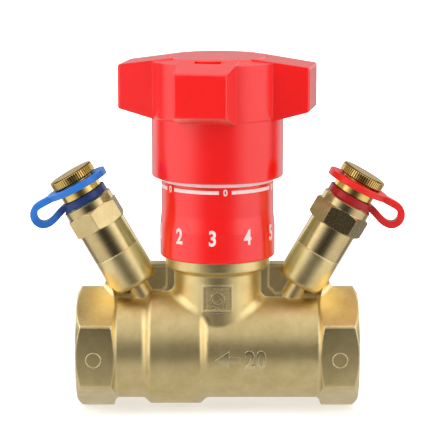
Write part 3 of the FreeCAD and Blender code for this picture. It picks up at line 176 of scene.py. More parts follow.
def make_worn_edges():
    """A rounded normal for soft edges, and a mask that is 1 along outside edges, found from how far the
    rounded normal turns from the true one; finishes paint highlights with the mask.
    """
    group, start, end = effect_group(
        "worn_edges",
        [("Width", "NodeSocketFloat", 0.0004)],
        [("Normal", "NodeSocketVector"), ("Mask", "NodeSocketFloat")],
    )
    bevel = add_node(group, "ShaderNodeBevel", samples=4)
    link(group, start.outputs["Width"], bevel.inputs["Radius"])
    geometry = add_node(group, "ShaderNodeNewGeometry")
    dot = add_node(group, "ShaderNodeVectorMath", operation="DOT_PRODUCT")
    link(group, bevel.outputs["Normal"], dot.inputs[0])
    link(group, geometry.outputs["Normal"], dot.inputs[1])
    link(group, bevel.outputs["Normal"], end.inputs["Normal"])
    link(group, map_range(group, dot.outputs["Value"], 0.995, 0.9), end.inputs["Mask"])
    return group


MOTTLE = make_mottle()
GRAIN = make_grain()
TURNING_MARKS = make_turning_marks()
ROUNDED_EDGES_AND_HIGHLIGHT = make_worn_edges()


def place_group(tree, group, **values):
    node = add_node(tree, "ShaderNodeGroup", node_tree=group)
    for name, value in values.items():
        node.inputs[name.replace("_", " ")].default_value = value
    return node


def colour(red, green, blue):
    """A linear colour from the three numbers, 0 to 255, by which screens name it."""
    def linear(value):
        share = value / 255
        return share / 12.92 if share <= 0.04045 else ((share + 0.055) / 1.055) ** 2.4
    return (linear(red), linear(green), linear(blue), 1.0)


COAT_ROUGHNESS = 0.2
# Where the painted shade stops: the knurl grooves' painted shade keeps to the side of the cap's head, short
# of its top face, and the straps' painted shadow fades out past their ring.
CAP_HEAD_START = (22.6 * MM, 22.7 * MM)
CAP_TOP_FACE = (0.24 * MM, 0.19 * MM)
STRAP_RING_FADE = (7.4 * MM, 11.0 * MM)


def finish(name, light, dark, metallic, roughness, mottle_scale, mottle_amount, bump,
           grain_scale=2500.0, wave_scale=300.0, wave_share=0.5, rough_spread=0.08,
           edge_width=0.0003, edge_highlight=0.0, edge_highlight_colour=None, turned_about=None,
           specular=0.5, mirrored_colour=None, ends=None, shade=None, gloss=0.0):
    """One material: a mottled colour, a fine bump over softened edges, and a roughness that varies.

    turned_about is the lathe axis, as its foot and its turn. mirrored_colour is what the lower part of the
    piece shows in reflections. ends gives two distances from the stem and how much smoother the metal is past
    the second. shade paints shade: it darkens what lies below a height, as a painted shadow, or inside a
    radius, as painted shade in grooves, measured along an axis of its own.
    """
    material = bpy.data.materials.new(name)
    material.use_nodes = True
    tree = material.node_tree
    tree.nodes.clear()
    output = add_node(tree, "ShaderNodeOutputMaterial")
    shader = add_node(tree, "ShaderNodeBsdfPrincipled")
    link(tree, shader.outputs["BSDF"], output.inputs["Surface"])
    shader.inputs["Metallic"].default_value = metallic
    shader.inputs["Specular IOR Level"].default_value = specular
    shader.inputs["Coat Weight"].default_value = gloss
    shader.inputs["Coat Roughness"].default_value = COAT_ROUGHNESS
    place = add_node(tree, "ShaderNodeTexCoord").outputs["Object"]

    mottle = place_group(tree, MOTTLE, Scale=mottle_scale, Light=light, Dark=dark, Amount=mottle_amount)
    link(tree, place, mottle.inputs["Vector"])
    edges = place_group(tree, ROUNDED_EDGES_AND_HIGHLIGHT, Width=edge_width)
    base = mottle.outputs["Color"]
    # A painted highlight: the colour is lightened towards the edge colour along outside edges.
    if edge_highlight:
        highlighted = add_node(tree, "ShaderNodeMix", data_type="RGBA")
        link(tree, math_node(tree, "MULTIPLY", edges.outputs["Mask"], edge_highlight), highlighted.inputs["Factor"])
        link(tree, base, highlighted.inputs["A"])
        highlighted.inputs["B"].default_value = edge_highlight_colour
        base = highlighted.outputs["Result"]
    # Painted shade: the colour darkens below a height, as a painted shadow, or inside a radius, as painted
    # shade in grooves.
    if shade:
        axis, measure, low, high, shade_colour = shade
        own = add_node(tree, "ShaderNodeMapping", vector_type="TEXTURE")
        own.inputs["Location"].default_value = axis[0]
        own.inputs["Rotation"].default_value = axis[1]
        link(tree, place, own.inputs["Vector"])
        parts = add_node(tree, "ShaderNodeSeparateXYZ")
        link(tree, own.outputs["Vector"], parts.inputs["Vector"])
        flat = add_node(tree, "ShaderNodeVectorMath", operation="LENGTH")
        across = add_node(tree, "ShaderNodeCombineXYZ")
        link(tree, parts.outputs["X"], across.inputs["X"])
        link(tree, parts.outputs["Y"], across.inputs["Y"])
        link(tree, across.outputs["Vector"], flat.inputs[0])
        if measure == "radius":
            inside = map_range(tree, flat.outputs["Value"], low, high, 1.0, 0.0)
            head = map_range(tree, parts.outputs["Z"], *CAP_HEAD_START)
            rim = map_range(tree, flat.outputs["Value"], low - CAP_TOP_FACE[0], low - CAP_TOP_FACE[1])
            inside = math_node(tree, "MULTIPLY", math_node(tree, "MULTIPLY", inside, head), rim)
        else:
            inside = map_range(tree, parts.outputs["Z"], low, high, 1.0, 0.0, smooth=True)
            ring = map_range(tree, flat.outputs["Value"], *STRAP_RING_FADE, 1.0, 0.3, smooth=True)
            inside = math_node(tree, "MULTIPLY", inside, ring)
        shaded = add_node(tree, "ShaderNodeMix", data_type="RGBA")
        link(tree, inside, shaded.inputs["Factor"])
        link(tree, base, shaded.inputs["A"])
        shaded.inputs["B"].default_value = shade_colour
        base = shaded.outputs["Result"]
    # A painted reflection: glossy rays see the lower part of the piece in the mirrored colour, not in its own
    # colour.
    if mirrored_colour:
        path = add_node(tree, "ShaderNodeLightPath")
        height = add_node(tree, "ShaderNodeSeparateXYZ")
        link(tree, place, height.inputs["Vector"])
        low = map_range(tree, height.outputs["Z"], WHEEL_STEP - 3 * MM, WHEEL_STEP, 1.0, 0.0)
        dimmed = add_node(tree, "ShaderNodeMix", data_type="RGBA")
        link(tree, math_node(tree, "MULTIPLY", path.outputs["Is Glossy Ray"], low), dimmed.inputs["Factor"])
        link(tree, base, dimmed.inputs["A"])
        dimmed.inputs["B"].default_value = mirrored_colour
        base = dimmed.outputs["Result"]
    link(tree, base, shader.inputs["Base Color"])

    if turned_about:
        mapping = add_node(tree, "ShaderNodeMapping", vector_type="TEXTURE")
        mapping.inputs["Location"].default_value = turned_about[0]
        mapping.inputs["Rotation"].default_value = turned_about[1]
        link(tree, place, mapping.inputs["Vector"])
        skin = place_group(tree, TURNING_MARKS, Ring_Scale=grain_scale)
        link(tree, mapping.outputs["Vector"], skin.inputs["Vector"])
    else:
        skin = place_group(tree, GRAIN, Grain_Scale=grain_scale, Wave_Scale=wave_scale, Wave_Share=wave_share)
        link(tree, place, skin.inputs["Vector"])
    smoothest, roughest = roughness - rough_spread, roughness + rough_spread
    spread = map_range(tree, skin.outputs["Mask"], 0.0, 1.0, smoothest, roughest)
    if ends:
        parts = add_node(tree, "ShaderNodeSeparateXYZ")
        link(tree, place, parts.inputs["Vector"])
        out = math_node(tree, "ABSOLUTE", parts.outputs["X"])
        spread = math_node(tree, "SUBTRACT", spread, map_range(tree, out, ends[0], ends[1], 0.0, ends[2]))
    link(tree, spread, shader.inputs["Roughness"])
    relief = add_node(tree, "ShaderNodeBump")
    relief.inputs["Strength"].default_value = 1.0
    relief.inputs["Distance"].default_value = bump
    link(tree, skin.outputs["Height"], relief.inputs["Height"])
    link(tree, edges.outputs["Normal"], relief.inputs["Normal"])
    link(tree, relief.outputs["Normal"], shader.inputs["Normal"])
    return material


# Finishes. SEAM is where a test point leaves its boss, and TILT is how far it leans.

TILT = math.radians(30)
SEAM = Vector((30.06 * MM, 0.0, 28.98 * MM + PIPE_AXIS))
SIDES = {"inlet": 1, "outlet": -1}
COLOURS = {"inlet": "red", "outlet": "blue"}


def test_axis(side):
    """Where a test point's own axis starts and how it is turned, for its lathe marks."""
    way = SIDES[side]
    return (Vector((way * SEAM.x, 0.0, SEAM.z)), (0.0, way * TILT, 0.0))


WHEEL_STEP = 69.7 * MM + PIPE_AXIS

# The cast brass carries a painted highlight along its edges.
CAST_BRASS = finish(
    "shot_blasted_brass", colour(240, 218, 160), colour(219, 193, 130), 1.0, 0.40, 220.0, 0.6, 0.00003,
    grain_scale=2600.0, wave_scale=420.0, wave_share=0.8, rough_spread=0.07,
    edge_width=0.0007, edge_highlight=0.6, edge_highlight_colour=colour(255, 246, 206),
    ends=(29.6 * MM, 31.0 * MM, 0.10),
)
MACHINED_BRASS = finish(
    "machined_brass", colour(238, 214, 150), colour(222, 194, 126), 1.0, 0.28, 160.0, 0.4, 0.00001,
    grain_scale=5000.0, wave_share=0.2, edge_width=0.0002,
)
# The test points carry a painted highlight along their edges.
POLISHED_BRASS = {
    side: finish(
        f"polished_brass_{side}", colour(212, 190, 140), colour(188, 164, 110), 1.0, 0.24, 260.0, 0.45,
        0.000004, grain_scale=9000.0, rough_spread=0.05, edge_width=0.00022, edge_highlight=0.4,
        edge_highlight_colour=colour(255, 246, 200), turned_about=test_axis(side),
    )
    for side in SIDES
}
# The red plastic carries a pink painted highlight along its edges.
RED_PLASTIC = finish(
    "glossy_red_plastic", colour(246, 4, 1), colour(236, 3, 1), 0.0, 0.20, 90.0, 0.5, 0.00001,
    grain_scale=900.0, wave_scale=120.0, wave_share=2.0, rough_spread=0.04, edge_width=0.0004,
    edge_highlight=0.3, edge_highlight_colour=colour(250, 70, 62), specular=0.9, mirrored_colour=colour(178, 180, 150),
    gloss=0.35,
)
# Painted shadow: the red strap darkens below a height on its test point's axis, mostly on its ring, as the
# shade under the cap.
RED_STRAP = finish(
    "red_strap_plastic", colour(232, 30, 24), colour(214, 20, 18), 0.0, 0.34, 200.0, 0.5, 0.00002,
    grain_scale=2200.0, wave_scale=300.0, wave_share=1.0, edge_width=0.0003,
    shade=(test_axis("inlet"), "height", 20.0 * MM, 20.8 * MM, colour(168, 12, 20)),
)
# Painted shadow: the blue strap darkens below a height on its test point's axis, mostly on its ring, as the
# shade under the cap.
BLUE_STRAP = finish(
    "blue_strap_plastic", colour(36, 120, 212), colour(28, 102, 190), 0.0, 0.36, 200.0, 0.5, 0.00002,
    grain_scale=2200.0, wave_scale=300.0, wave_share=1.0, edge_width=0.0003,
    shade=(test_axis("outlet"), "height", 20.0 * MM, 20.8 * MM, colour(22, 50, 112)),
)
CAP_HEAD_RADIUS = 6.9 * MM
# Painted shade: the knurl grooves on each cap's head are painted dark brown, as the shade that falls in them.
KNURL_GROOVE = (CAP_HEAD_RADIUS - 0.22 * MM, CAP_HEAD_RADIUS - 0.02 * MM)
KNURLED_BRASS = {
    side: finish(
        f"knurled_brass_{side}", colour(240, 208, 124), colour(222, 184, 100), 1.0, 0.26, 260.0, 0.45,
        0.000004, grain_scale=9000.0, rough_spread=0.05, edge_width=0.00004, turned_about=test_axis(side),
        shade=(test_axis(side), "radius", *KNURL_GROOVE, colour(92, 56, 20)),
    )
    for side in SIDES
}
# The raised marks are a lighter brass than the casting, and their edges carry a painted highlight.
RAISED_MARKS = finish(
    "raised_mark_brass", colour(246, 226, 170), colour(230, 206, 146), 1.0, 0.3, 400.0, 0.5, 0.00001,
    grain_scale=3000.0, edge_width=0.00025, edge_highlight=1.0, edge_highlight_colour=colour(255, 252, 226),
)
WHITE_PRINT = finish(
    "white_print", colour(248, 226, 222), colour(240, 206, 202), 0.0, 0.5, 900.0, 0.4, 0.000006,
    grain_scale=4000.0, edge_width=0.00005,
)
SEAL_RUBBER = finish(
    "seal_rubber", colour(40, 40, 42), colour(28, 28, 30), 0.0, 0.6, 300.0, 0.5, 0.00002, edge_width=0.0002,
)
BRIGHT_STEEL = finish(
    "bright_steel", colour(206, 206, 208), colour(186, 186, 190), 1.0, 0.28, 300.0, 0.5, 0.000008,
    grain_scale=4000.0, edge_width=0.0002,
)

SLOT_FINISH = {
    "casting_brass": CAST_BRASS,
    "turned_brass": MACHINED_BRASS,
    "machined_brass": MACHINED_BRASS,
    "red_plastic": RED_PLASTIC,
    "blue_plastic": BLUE_STRAP,
    "red_strap_plastic": RED_STRAP,
    "seal_rubber": SEAL_RUBBER,
    "steel": BRIGHT_STEEL,
}


def dress(node, material):
    """Gives a CAD node its finish, in every material slot that it has."""
    thing = frame["nodes"][node]
    if not thing.material_slots:
        thing.data.materials.append(material)
    for place in thing.material_slots:
        place.material = material


for subpart in frame["record"]["subparts"]:
    dress(subpart["node"], SLOT_FINISH[subpart["material_slot"]])
for side in SIDES:
    dress(f"{side}_test_point", POLISHED_BRASS[side])
    dress(f"{COLOURS[side]}_cap", KNURLED_BRASS[side])


# Pieces: helpers for meshes, then the print on the number sleeve.

def mesh_object(name, mesh, material, smooth=True):
    mesh.name = name
    thing = bpy.data.objects.new(name, mesh)
    bpy.context.scene.collection.objects.link(thing)
    mesh.materials.clear()
    mesh.materials.append(material)
    for face in mesh.polygons:
        face.use_smooth = smooth
    return thing


def piece_from(name, build, material, body, smooth=True):
    """A piece whose mesh the given function builds, riding on a body and given the finish passed in."""
    bm = bmesh.new()
    build(bm)
    bmesh.ops.remove_doubles(bm, verts=bm.verts, dist=1e-7)
    bmesh.ops.recalc_face_normals(bm, faces=bm.faces)
    mesh = bpy.data.meshes.new(name)
    bm.to_mesh(mesh)
    bm.free()
    thing = mesh_object(name, mesh, material, smooth)
    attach(thing, body)
    return thing


def baked(thing):
    """Applies a piece's modifiers to its mesh."""
    bpy.context.view_layer.update()
    graph = bpy.context.evaluated_depsgraph_get()
    mesh = bpy.data.meshes.new_from_object(thing.evaluated_get(graph))
    thing.modifiers.clear()
    thing.data = mesh
    return thing


def flat_text(words, height, squeeze):
    """The flat outline mesh of some figures, centred, in the XY plane, so many metres tall."""
    curve = bpy.data.curves.new("figures", "FONT")
    curve.body = words
    curve.align_x = "CENTER"
    curve.size = 1.0
    curve.resolution_u = 6
    curve.offset = 0.028
    holder = bpy.data.objects.new("figures", curve)
    bpy.context.scene.collection.objects.link(holder)
    bpy.context.view_layer.update()
    mesh = bpy.data.meshes.new_from_object(holder.evaluated_get(bpy.context.evaluated_depsgraph_get()))
    bpy.data.objects.remove(holder)
    bpy.data.curves.remove(curve)
    ys = [v.co.y for v in mesh.vertices]
    xs = [v.co.x for v in mesh.vertices]
    scale = height / (max(ys) - min(ys))
    middle = Vector(((max(xs) + min(xs)) / 2, (max(ys) + min(ys)) / 2, 0))
    for v in mesh.vertices:
        v.co = (v.co - middle) * scale
        v.co.x *= squeeze
    return mesh


def sliced(bm, axis, step):
    """Cuts a flat mesh into strips across an axis, so that it can bend smoothly."""
    places = [v.co[axis] for v in bm.verts]
    normal = Vector((0, 0, 0))
    normal[axis] = 1
    count = int((max(places) - min(places)) / step)
    for index in range(1, count + 1):
        point = normal * (min(places) + index * step)
        parts = bm.verts[:] + bm.edges[:] + bm.faces[:]
        bmesh.ops.bisect_plane(bm, geom=parts, plane_co=point, plane_no=normal)


def thickened(bm, lift):
    """Gives a bent sheet its thickness: lift(point, raised) places both of its faces."""
    upper = bmesh.ops.extrude_face_region(bm, geom=bm.faces[:])
    raised = {item for item in upper["geom"] if isinstance(item, bmesh.types.BMVert)}
    for v in bm.verts:
        v.co = lift(v.co.copy(), v in raised)


PRINT_SINK = 0.03 * MM
PRINT_RISE = 0.03 * MM
SLEEVE_LOW_RADIUS = 17.05 * MM
SLEEVE_HIGH_RADIUS = 16.6 * MM
SLEEVE_LOW_TOP = 36.8 * MM
SLEEVE_TAPER_TOP = 41.4 * MM


def sleeve_radius_at(level):
    """The number sleeve's radius at a height above the pipe axis."""
    share = (level - SLEEVE_LOW_TOP) / (SLEEVE_TAPER_TOP - SLEEVE_LOW_TOP)
    return SLEEVE_LOW_RADIUS + (SLEEVE_HIGH_RADIUS - SLEEVE_LOW_RADIUS) * min(1, max(0, share))


def on_sleeve(point, raised, angle, level):
    """Bends a flat point round the number sleeve, at an angle from the front towards the inlet."""
    height = level + point.y
    radius = sleeve_radius_at(height) + (PRINT_RISE if raised else -PRINT_SINK)
    turn = angle + point.x / sleeve_radius_at(level)
    return Vector((radius * math.sin(turn), -radius * math.cos(turn), height + PIPE_AXIS))


def sleeve_figures(bm, words, height, squeeze, angle, level):
    mesh = flat_text(words, height, squeeze)
    part = bmesh.new()
    part.from_mesh(mesh)
    bpy.data.meshes.remove(mesh)
    bmesh.ops.remove_doubles(part, verts=part.verts, dist=1e-7)
    sliced(part, 0, 0.4 * MM)
    sliced(part, 1, 0.8 * MM)
    thickened(part, lambda point, raised: on_sleeve(point, raised, angle, level))
    join(bm, part)


def join(bm, part):
    """Adds one mesh in the making to another, and frees it."""
    mesh = bpy.data.meshes.new("part")
    part.to_mesh(mesh)
    part.free()
    bm.from_mesh(mesh)
    bpy.data.meshes.remove(mesh)


def sleeve_line(bm, start, stop, level, width):
    """A printed stripe round part of the sleeve, between two angles."""
    steps = max(2, round((stop - start) / math.radians(2.5)))
    part = bmesh.new()
    rows = []
    for index in range(steps + 1):
        along = (start + (stop - start) * index / steps) * sleeve_radius_at(level)
        rows.append([part.verts.new((along, side * width / 2, 0)) for side in (-1, 1)])
    for (low, high), (next_low, next_high) in zip(rows, rows[1:]):
        part.faces.new((low, next_low, next_high, high))
    thickened(part, lambda point, raised: on_sleeve(point, raised, 0.0, level))
    join(bm, part)


FIGURE_ANGLES = [-4.9 + 36 * (figure - 3) for figure in range(10)]
FIGURE_LEVEL = 35.8 * MM
FIGURE_HEIGHT = 4.65 * MM
RING_LEVEL = 49.2 * MM
RING_PITCH = 2.0 * MM
RING_WIDTH = 1.05 * MM
RING_COUNT = 5
RING_FIGURE_HEIGHT = 2.0 * MM
RING_GAP = 6.5
RING_ANGLES = [-113.8, -55.9, 7.9, 72.5, 130.4, 188.3]
REAR_ANGLES = [130.4, 188.3, 246.2]


def ring_angles(ring):
    """Where a ring's figures stand: all round the lowest ring, and at the back of the next one up."""
    return REAR_ANGLES if ring == 1 else RING_ANGLES


def build_turn_figures(bm):
    for figure, angle in enumerate(FIGURE_ANGLES):
        sleeve_figures(bm, str(figure), FIGURE_HEIGHT, 0.8, math.radians(angle), FIGURE_LEVEL)


def build_ring_scale(bm):
    for ring in range(RING_COUNT):
        level = RING_LEVEL + ring * RING_PITCH
        angles = ring_angles(ring)
        for angle, following in zip(angles, angles[1:] + [angles[0] + 360]):
            sleeve_figures(bm, str(ring), RING_FIGURE_HEIGHT, 0.95, math.radians(angle), level)
            start = math.radians(angle + RING_GAP)
            sleeve_line(bm, start, math.radians(following - RING_GAP), level, RING_WIDTH)


piece_from("turn_figures", build_turn_figures, WHITE_PRINT, "valve", smooth=False)
piece_from("ring_scale", build_ring_scale, WHITE_PRINT, "valve", smooth=False)


# Raised marks of the casting: an arrow and the size on the barrel, a ring on each hexagon's front flat.

BARREL_RADIUS = 15.46 * MM
MARK_RISE = 0.42 * MM
MARK_SINK = 0.15 * MM
MARK_HEIGHT = 5.6 * MM
MARK_LEVEL = math.radians(-2.8)
ARROW_LENGTH, ARROW_WIDTH, ARROW_SHAFT = 7.4 * MM, 5.2 * MM, 1.7 * MM
ARROW_OUT = 3.0 * MM
SIZE_OUT = 11.2 * MM


def on_barrel(point, raised, out):
    """Bends a flat point round the front of the barrel, so far out along the pipe."""
    radius = BARREL_RADIUS + (MARK_RISE if raised else -MARK_SINK)
    turn = point.y / BARREL_RADIUS + MARK_LEVEL
    return Vector((out + point.x, -radius * math.cos(turn), radius * math.sin(turn) + PIPE_AXIS))


def barrel_mark(bm, flat, out):
    """Adds a flat mark to the barrel as a raised one."""
    bmesh.ops.triangulate(flat, faces=flat.faces[:])
    sliced(flat, 1, 0.4 * MM)
    thickened(flat, lambda point, raised: on_barrel(point, raised, out))
    join(bm, flat)


def flat_arrow(length, width, shaft):
    """An arrow that points along -X, flat in the XY plane: a shaft and a head, side by side."""
    bm = bmesh.new()
    neck = -length / 2 + width * 0.8
    tip = bm.verts.new((-length / 2, 0, 0))
    low = [bm.verts.new((neck, y, 0)) for y in (-width / 2, -shaft / 2, shaft / 2, width / 2)]
    end = [bm.verts.new((length / 2, y, 0)) for y in (-shaft / 2, shaft / 2)]
    for first, second in zip(low, low[1:]):
        bm.faces.new((tip, first, second))
    bm.faces.new((low[1], end[0], end[1], low[2]))
    return bm


def build_body_marks(bm):
    barrel_mark(bm, flat_arrow(ARROW_LENGTH, ARROW_WIDTH, ARROW_SHAFT), ARROW_OUT)
    mesh = flat_text("20", MARK_HEIGHT, 0.86)
    digits = bmesh.new()
    digits.from_mesh(mesh)
    bpy.data.meshes.remove(mesh)
    bmesh.ops.remove_doubles(digits, verts=digits.verts, dist=1e-7)
    barrel_mark(bm, digits, SIZE_OUT)


HEX_HALF = 16.0 * MM
CIRCLE_PLACES = (-36.5 * MM, 36.0 * MM)
CIRCLE_DROP = 0.8 * MM
CIRCLE_RADIUS = 2.2 * MM
CIRCLE_WIRE = 0.16 * MM


def build_flat_circles(bm):
    """The thin raised rings on the hexagons' front flats."""
    for out in CIRCLE_PLACES:
        steps, sides = 48, 8
        rows = []
        for step in range(steps):
            angle = 2 * math.pi * step / steps
            row = []
            for corner in range(sides):
                turn = 2 * math.pi * corner / sides
                radius = CIRCLE_RADIUS + CIRCLE_WIRE * math.cos(turn)
                row.append(bm.verts.new((
                    out + radius * math.cos(angle),
                    -HEX_HALF - CIRCLE_WIRE * 0.7 * math.sin(turn),
                    PIPE_AXIS - CIRCLE_DROP + radius * math.sin(angle),
                )))
            rows.append(row)
        for row, following in zip(rows, rows[1:] + rows[:1]):
            for corner in range(sides):
                next_corner = (corner + 1) % sides
                bm.faces.new((row[corner], row[next_corner], following[next_corner], following[corner]))


piece_from("body_marks", build_body_marks, RAISED_MARKS, "valve", smooth=False)
piece_from("flat_circles", build_flat_circles, RAISED_MARKS, "valve")


PAD_RADIUS = 13.15 * MM
PAD_MIDDLE = 16.9 * MM
PAD_HALF_WIDTH = 4.5 * MM
PAD_HALF_HEIGHT = 4.0 * MM
PAD_LINE = 0.55 * MM
PAD_RING_RADIUS = 2.0 * MM
PAD_RISE = 0.25 * MM
PAD_SINK = 0.35 * MM
RING_CORNERS = 40


def on_neck(point, raised):
    """Bends a flat point round the front of the neck, at the pad."""
    radius = PAD_RADIUS + (PAD_RISE if raised else -PAD_SINK)
    turn = point.x / PAD_RADIUS
    return Vector((radius * math.sin(turn), -radius * math.cos(turn), PAD_MIDDLE + PIPE_AXIS + point.y))


def flat_loop(outer, inner):
    """A flat band between two closed outlines with as many corners each."""
    bm = bmesh.new()
    rows = [(bm.verts.new((*far, 0)), bm.verts.new((*near, 0))) for far, near in zip(outer, inner)]
    for (far, near), (next_far, next_near) in zip(rows, rows[1:] + rows[:1]):
        bm.faces.new((far, next_far, next_near, near))
    return bm


def square_outline(inset):
    wide, tall = PAD_HALF_WIDTH - inset, PAD_HALF_HEIGHT - inset
    return [(-wide, -tall), (wide, -tall), (wide, tall), (-wide, tall)]


def round_outline(radius):
    turns = [2 * math.pi * step / RING_CORNERS for step in range(RING_CORNERS)]
    return [(radius * math.cos(turn), radius * math.sin(turn)) for turn in turns]


def build_pad_lines(bm):
    """The square's thin raised line, and a plain ring in its middle."""
    square = flat_loop(square_outline(0.0), square_outline(PAD_LINE))
    sliced(square, 0, 0.5 * MM)
    circle = flat_loop(round_outline(PAD_RING_RADIUS), round_outline(PAD_RING_RADIUS - PAD_LINE))
    for part in (square, circle):
        thickened(part, on_neck)
        join(bm, part)


piece_from("pad_lines", build_pad_lines, RAISED_MARKS, "valve", smooth=False)


# Pipe threads: a helical ridge in each mouth.

THREAD_ROOT = 13.30 * MM
THREAD_CREST = 12.06 * MM
THREAD_PITCH = 1.814 * MM
THREAD_START = 41.2 * MM
THREAD_END = 27.6 * MM
THREAD_STEPS = 72
THREAD_FOOT = 0.82
THREAD_LAND = 0.16


def build_pipe_thread(bm, way):
    turns = (THREAD_START - THREAD_END) / THREAD_PITCH
    steps = round(turns * THREAD_STEPS)
    rows = []
    for step in range(steps + 1):
        angle = 2 * math.pi * step / THREAD_STEPS
        middle = THREAD_START - THREAD_PITCH * step / THREAD_STEPS
        fade = min(1.0, step / (THREAD_STEPS * 0.6), (steps - step) / (THREAD_STEPS * 0.6))
        crest = THREAD_ROOT - (THREAD_ROOT - THREAD_CREST) * max(0.02, fade)
        row = []
        for along, radius in (
            (-THREAD_FOOT, THREAD_ROOT), (-THREAD_LAND, crest),
            (THREAD_LAND, crest), (THREAD_FOOT, THREAD_ROOT),
        ):
            row.append(bm.verts.new((
                way * (middle + along * MM),
                way * radius * math.sin(angle),
                PIPE_AXIS + radius * math.cos(angle),
            )))
        rows.append(row)
    for row, following in zip(rows, rows[1:]):
        for corner in range(4):
            other = (corner + 1) % 4
            bm.faces.new((row[corner], row[other], following[other], following[corner]))
    bm.faces.new(rows[0])
    bm.faces.new(rows[-1])


for side, way in SIDES.items():
    piece_from(
        f"{side}_pipe_thread", lambda bm: build_pipe_thread(bm, way),
        MACHINED_BRASS, "valve", smooth=False,
    )


# The pebbled field inside the square frame on the neck.

FIELD_RADIUS = 12.90 * MM
FIELD_WIDTH = 7.7 * MM
FIELD_HEIGHT = 6.7 * MM
FIELD_MIDDLE = 16.9 * MM


def pebble_tree():
    """Scatters flattened pebbles over the piece's faces. Its sizes and seed are named inputs."""
    tree = bpy.data.node_groups.new("pebbles", "GeometryNodeTree")
    new = tree.interface.new_socket
    new("Field", in_out="INPUT", socket_type="NodeSocketGeometry")
    for name, kind in (("Pebble Size", "NodeSocketFloat"), ("Spacing", "NodeSocketFloat"),
                       ("Density", "NodeSocketFloat"), ("Seed", "NodeSocketInt"),
                       ("Finish", "NodeSocketMaterial")):
        new(name, in_out="INPUT", socket_type=kind)
    new("Pebbles", in_out="OUTPUT", socket_type="NodeSocketGeometry")
    start = tree.nodes.new("NodeGroupInput")
    end = tree.nodes.new("NodeGroupOutput")
    scatter = add_node(tree, "GeometryNodeDistributePointsOnFaces", distribute_method="POISSON")
    link(tree, start.outputs["Field"], scatter.inputs["Mesh"])
    link(tree, start.outputs["Spacing"], scatter.inputs["Distance Min"])
    link(tree, start.outputs["Density"], scatter.inputs["Density Max"])
    link(tree, start.outputs["Seed"], scatter.inputs["Seed"])
    pebble = add_node(tree, "GeometryNodeMeshIcoSphere")
    pebble.inputs["Subdivisions"].default_value = 2
    link(tree, start.outputs["Pebble Size"], pebble.inputs["Radius"])
    spread = add_node(tree, "FunctionNodeRandomValue", data_type="FLOAT_VECTOR")
    spread.inputs["Min"].default_value = (0.7, 0.7, 0.1)
    spread.inputs["Max"].default_value = (1.2, 1.2, 0.2)
    link(tree, start.outputs["Seed"], spread.inputs["Seed"])
    place = add_node(tree, "GeometryNodeInstanceOnPoints")
    link(tree, scatter.outputs["Points"], place.inputs["Points"])
    link(tree, pebble.outputs["Mesh"], place.inputs["Instance"])
    link(tree, scatter.outputs["Rotation"], place.inputs["Rotation"])
    link(tree, spread.outputs["Value"], place.inputs["Scale"])
    real = add_node(tree, "GeometryNodeRealizeInstances")
    link(tree, place.outputs["Instances"], real.inputs["Geometry"])
    coat = add_node(tree, "GeometryNodeSetMaterial")
    link(tree, real.outputs["Geometry"], coat.inputs["Geometry"])
    link(tree, start.outputs["Finish"], coat.inputs["Material"])
    link(tree, coat.outputs["Geometry"], end.inputs["Pebbles"])
    return tree


def set_inputs(modifier, **values):
    for item in modifier.node_group.interface.items_tree:
        key = item.name.replace(" ", "_")
        if item.in_out == "INPUT" and key in values:
            modifier[item.identifier] = values[key]


def build_field(bm):
    """The curved patch that the pebbles stand on."""
    columns, rows = 12, 8
    grid = []
    for column in range(columns + 1):
        turn = (column / columns - 0.5) * FIELD_WIDTH / FIELD_RADIUS
        line = []
        for row in range(rows + 1):
            height = FIELD_MIDDLE + (row / rows - 0.5) * FIELD_HEIGHT + PIPE_AXIS
            line.append(bm.verts.new((FIELD_RADIUS * math.sin(turn), -FIELD_RADIUS * math.cos(turn), height)))
        grid.append(line)
    for left, right in zip(grid, grid[1:]):
        for row in range(rows):
            bm.faces.new((left[row], right[row], right[row + 1], left[row + 1]))


def make_pebbles():
    bm = bmesh.new()
    build_field(bm)
    mesh = bpy.data.meshes.new("pad_pebbles")
    bm.to_mesh(mesh)
    bm.free()
    thing = mesh_object("pad_pebbles", mesh, CAST_BRASS)
    modifier = thing.modifiers.new("pebbles", "NODES")
    modifier.node_group = pebble_tree()
    set_inputs(modifier, Pebble_Size=0.22 * MM, Spacing=0.42 * MM, Density=7.0e6, Seed=4, Finish=CAST_BRASS)
    baked(thing)
    for face in thing.data.polygons:
        face.use_smooth = True
    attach(thing, "valve")
    return thing


make_pebbles()


# Straps: soft plastic between the valve and the cap.

STRAP_ROUNDING = 0.3 * MM


def make_strap(side):
    """A rounded copy of the CAD strap, in place of the CAD node, which is hidden."""
    name = COLOURS[side]
    node = f"{name}_strap"
    mesh = frame["nodes"][node].data.copy()
    bm = bmesh.new()
    bm.from_mesh(mesh)
    bmesh.ops.remove_doubles(bm, verts=bm.verts, dist=2e-6)
    bmesh.ops.recalc_face_normals(bm, faces=bm.faces)
    bmesh.ops.dissolve_limit(bm, angle_limit=math.radians(1), verts=bm.verts, edges=bm.edges)
    bm.to_mesh(mesh)
    bm.free()
    thing = mesh_object(f"{name}_strap_skin", mesh, BLUE_STRAP if name == "blue" else RED_STRAP)
    bevel = thing.modifiers.new("rounded", "BEVEL")
    bevel.width = STRAP_ROUNDING
    bevel.segments = 3
    bevel.limit_method = "ANGLE"
    bevel.angle_limit = math.radians(40)
    baked(thing)
    for face in thing.data.polygons:
        face.use_smooth = True
    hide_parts(node)
    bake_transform(thing)


for side in SIDES:
    make_strap(side)


# Studio: camera, floor and light. The picture is square, so many pixels a side.

PICTURE_SIDE = 440
FOCAL_PIXELS = 2192.3
SENSOR = 36.0
CAMERA_BACK = 642.0 * MM
CAMERA_RISE = 153.3 * MM
CAMERA_DOWN = math.radians(10.155)
STEM_PIXEL = 217.48


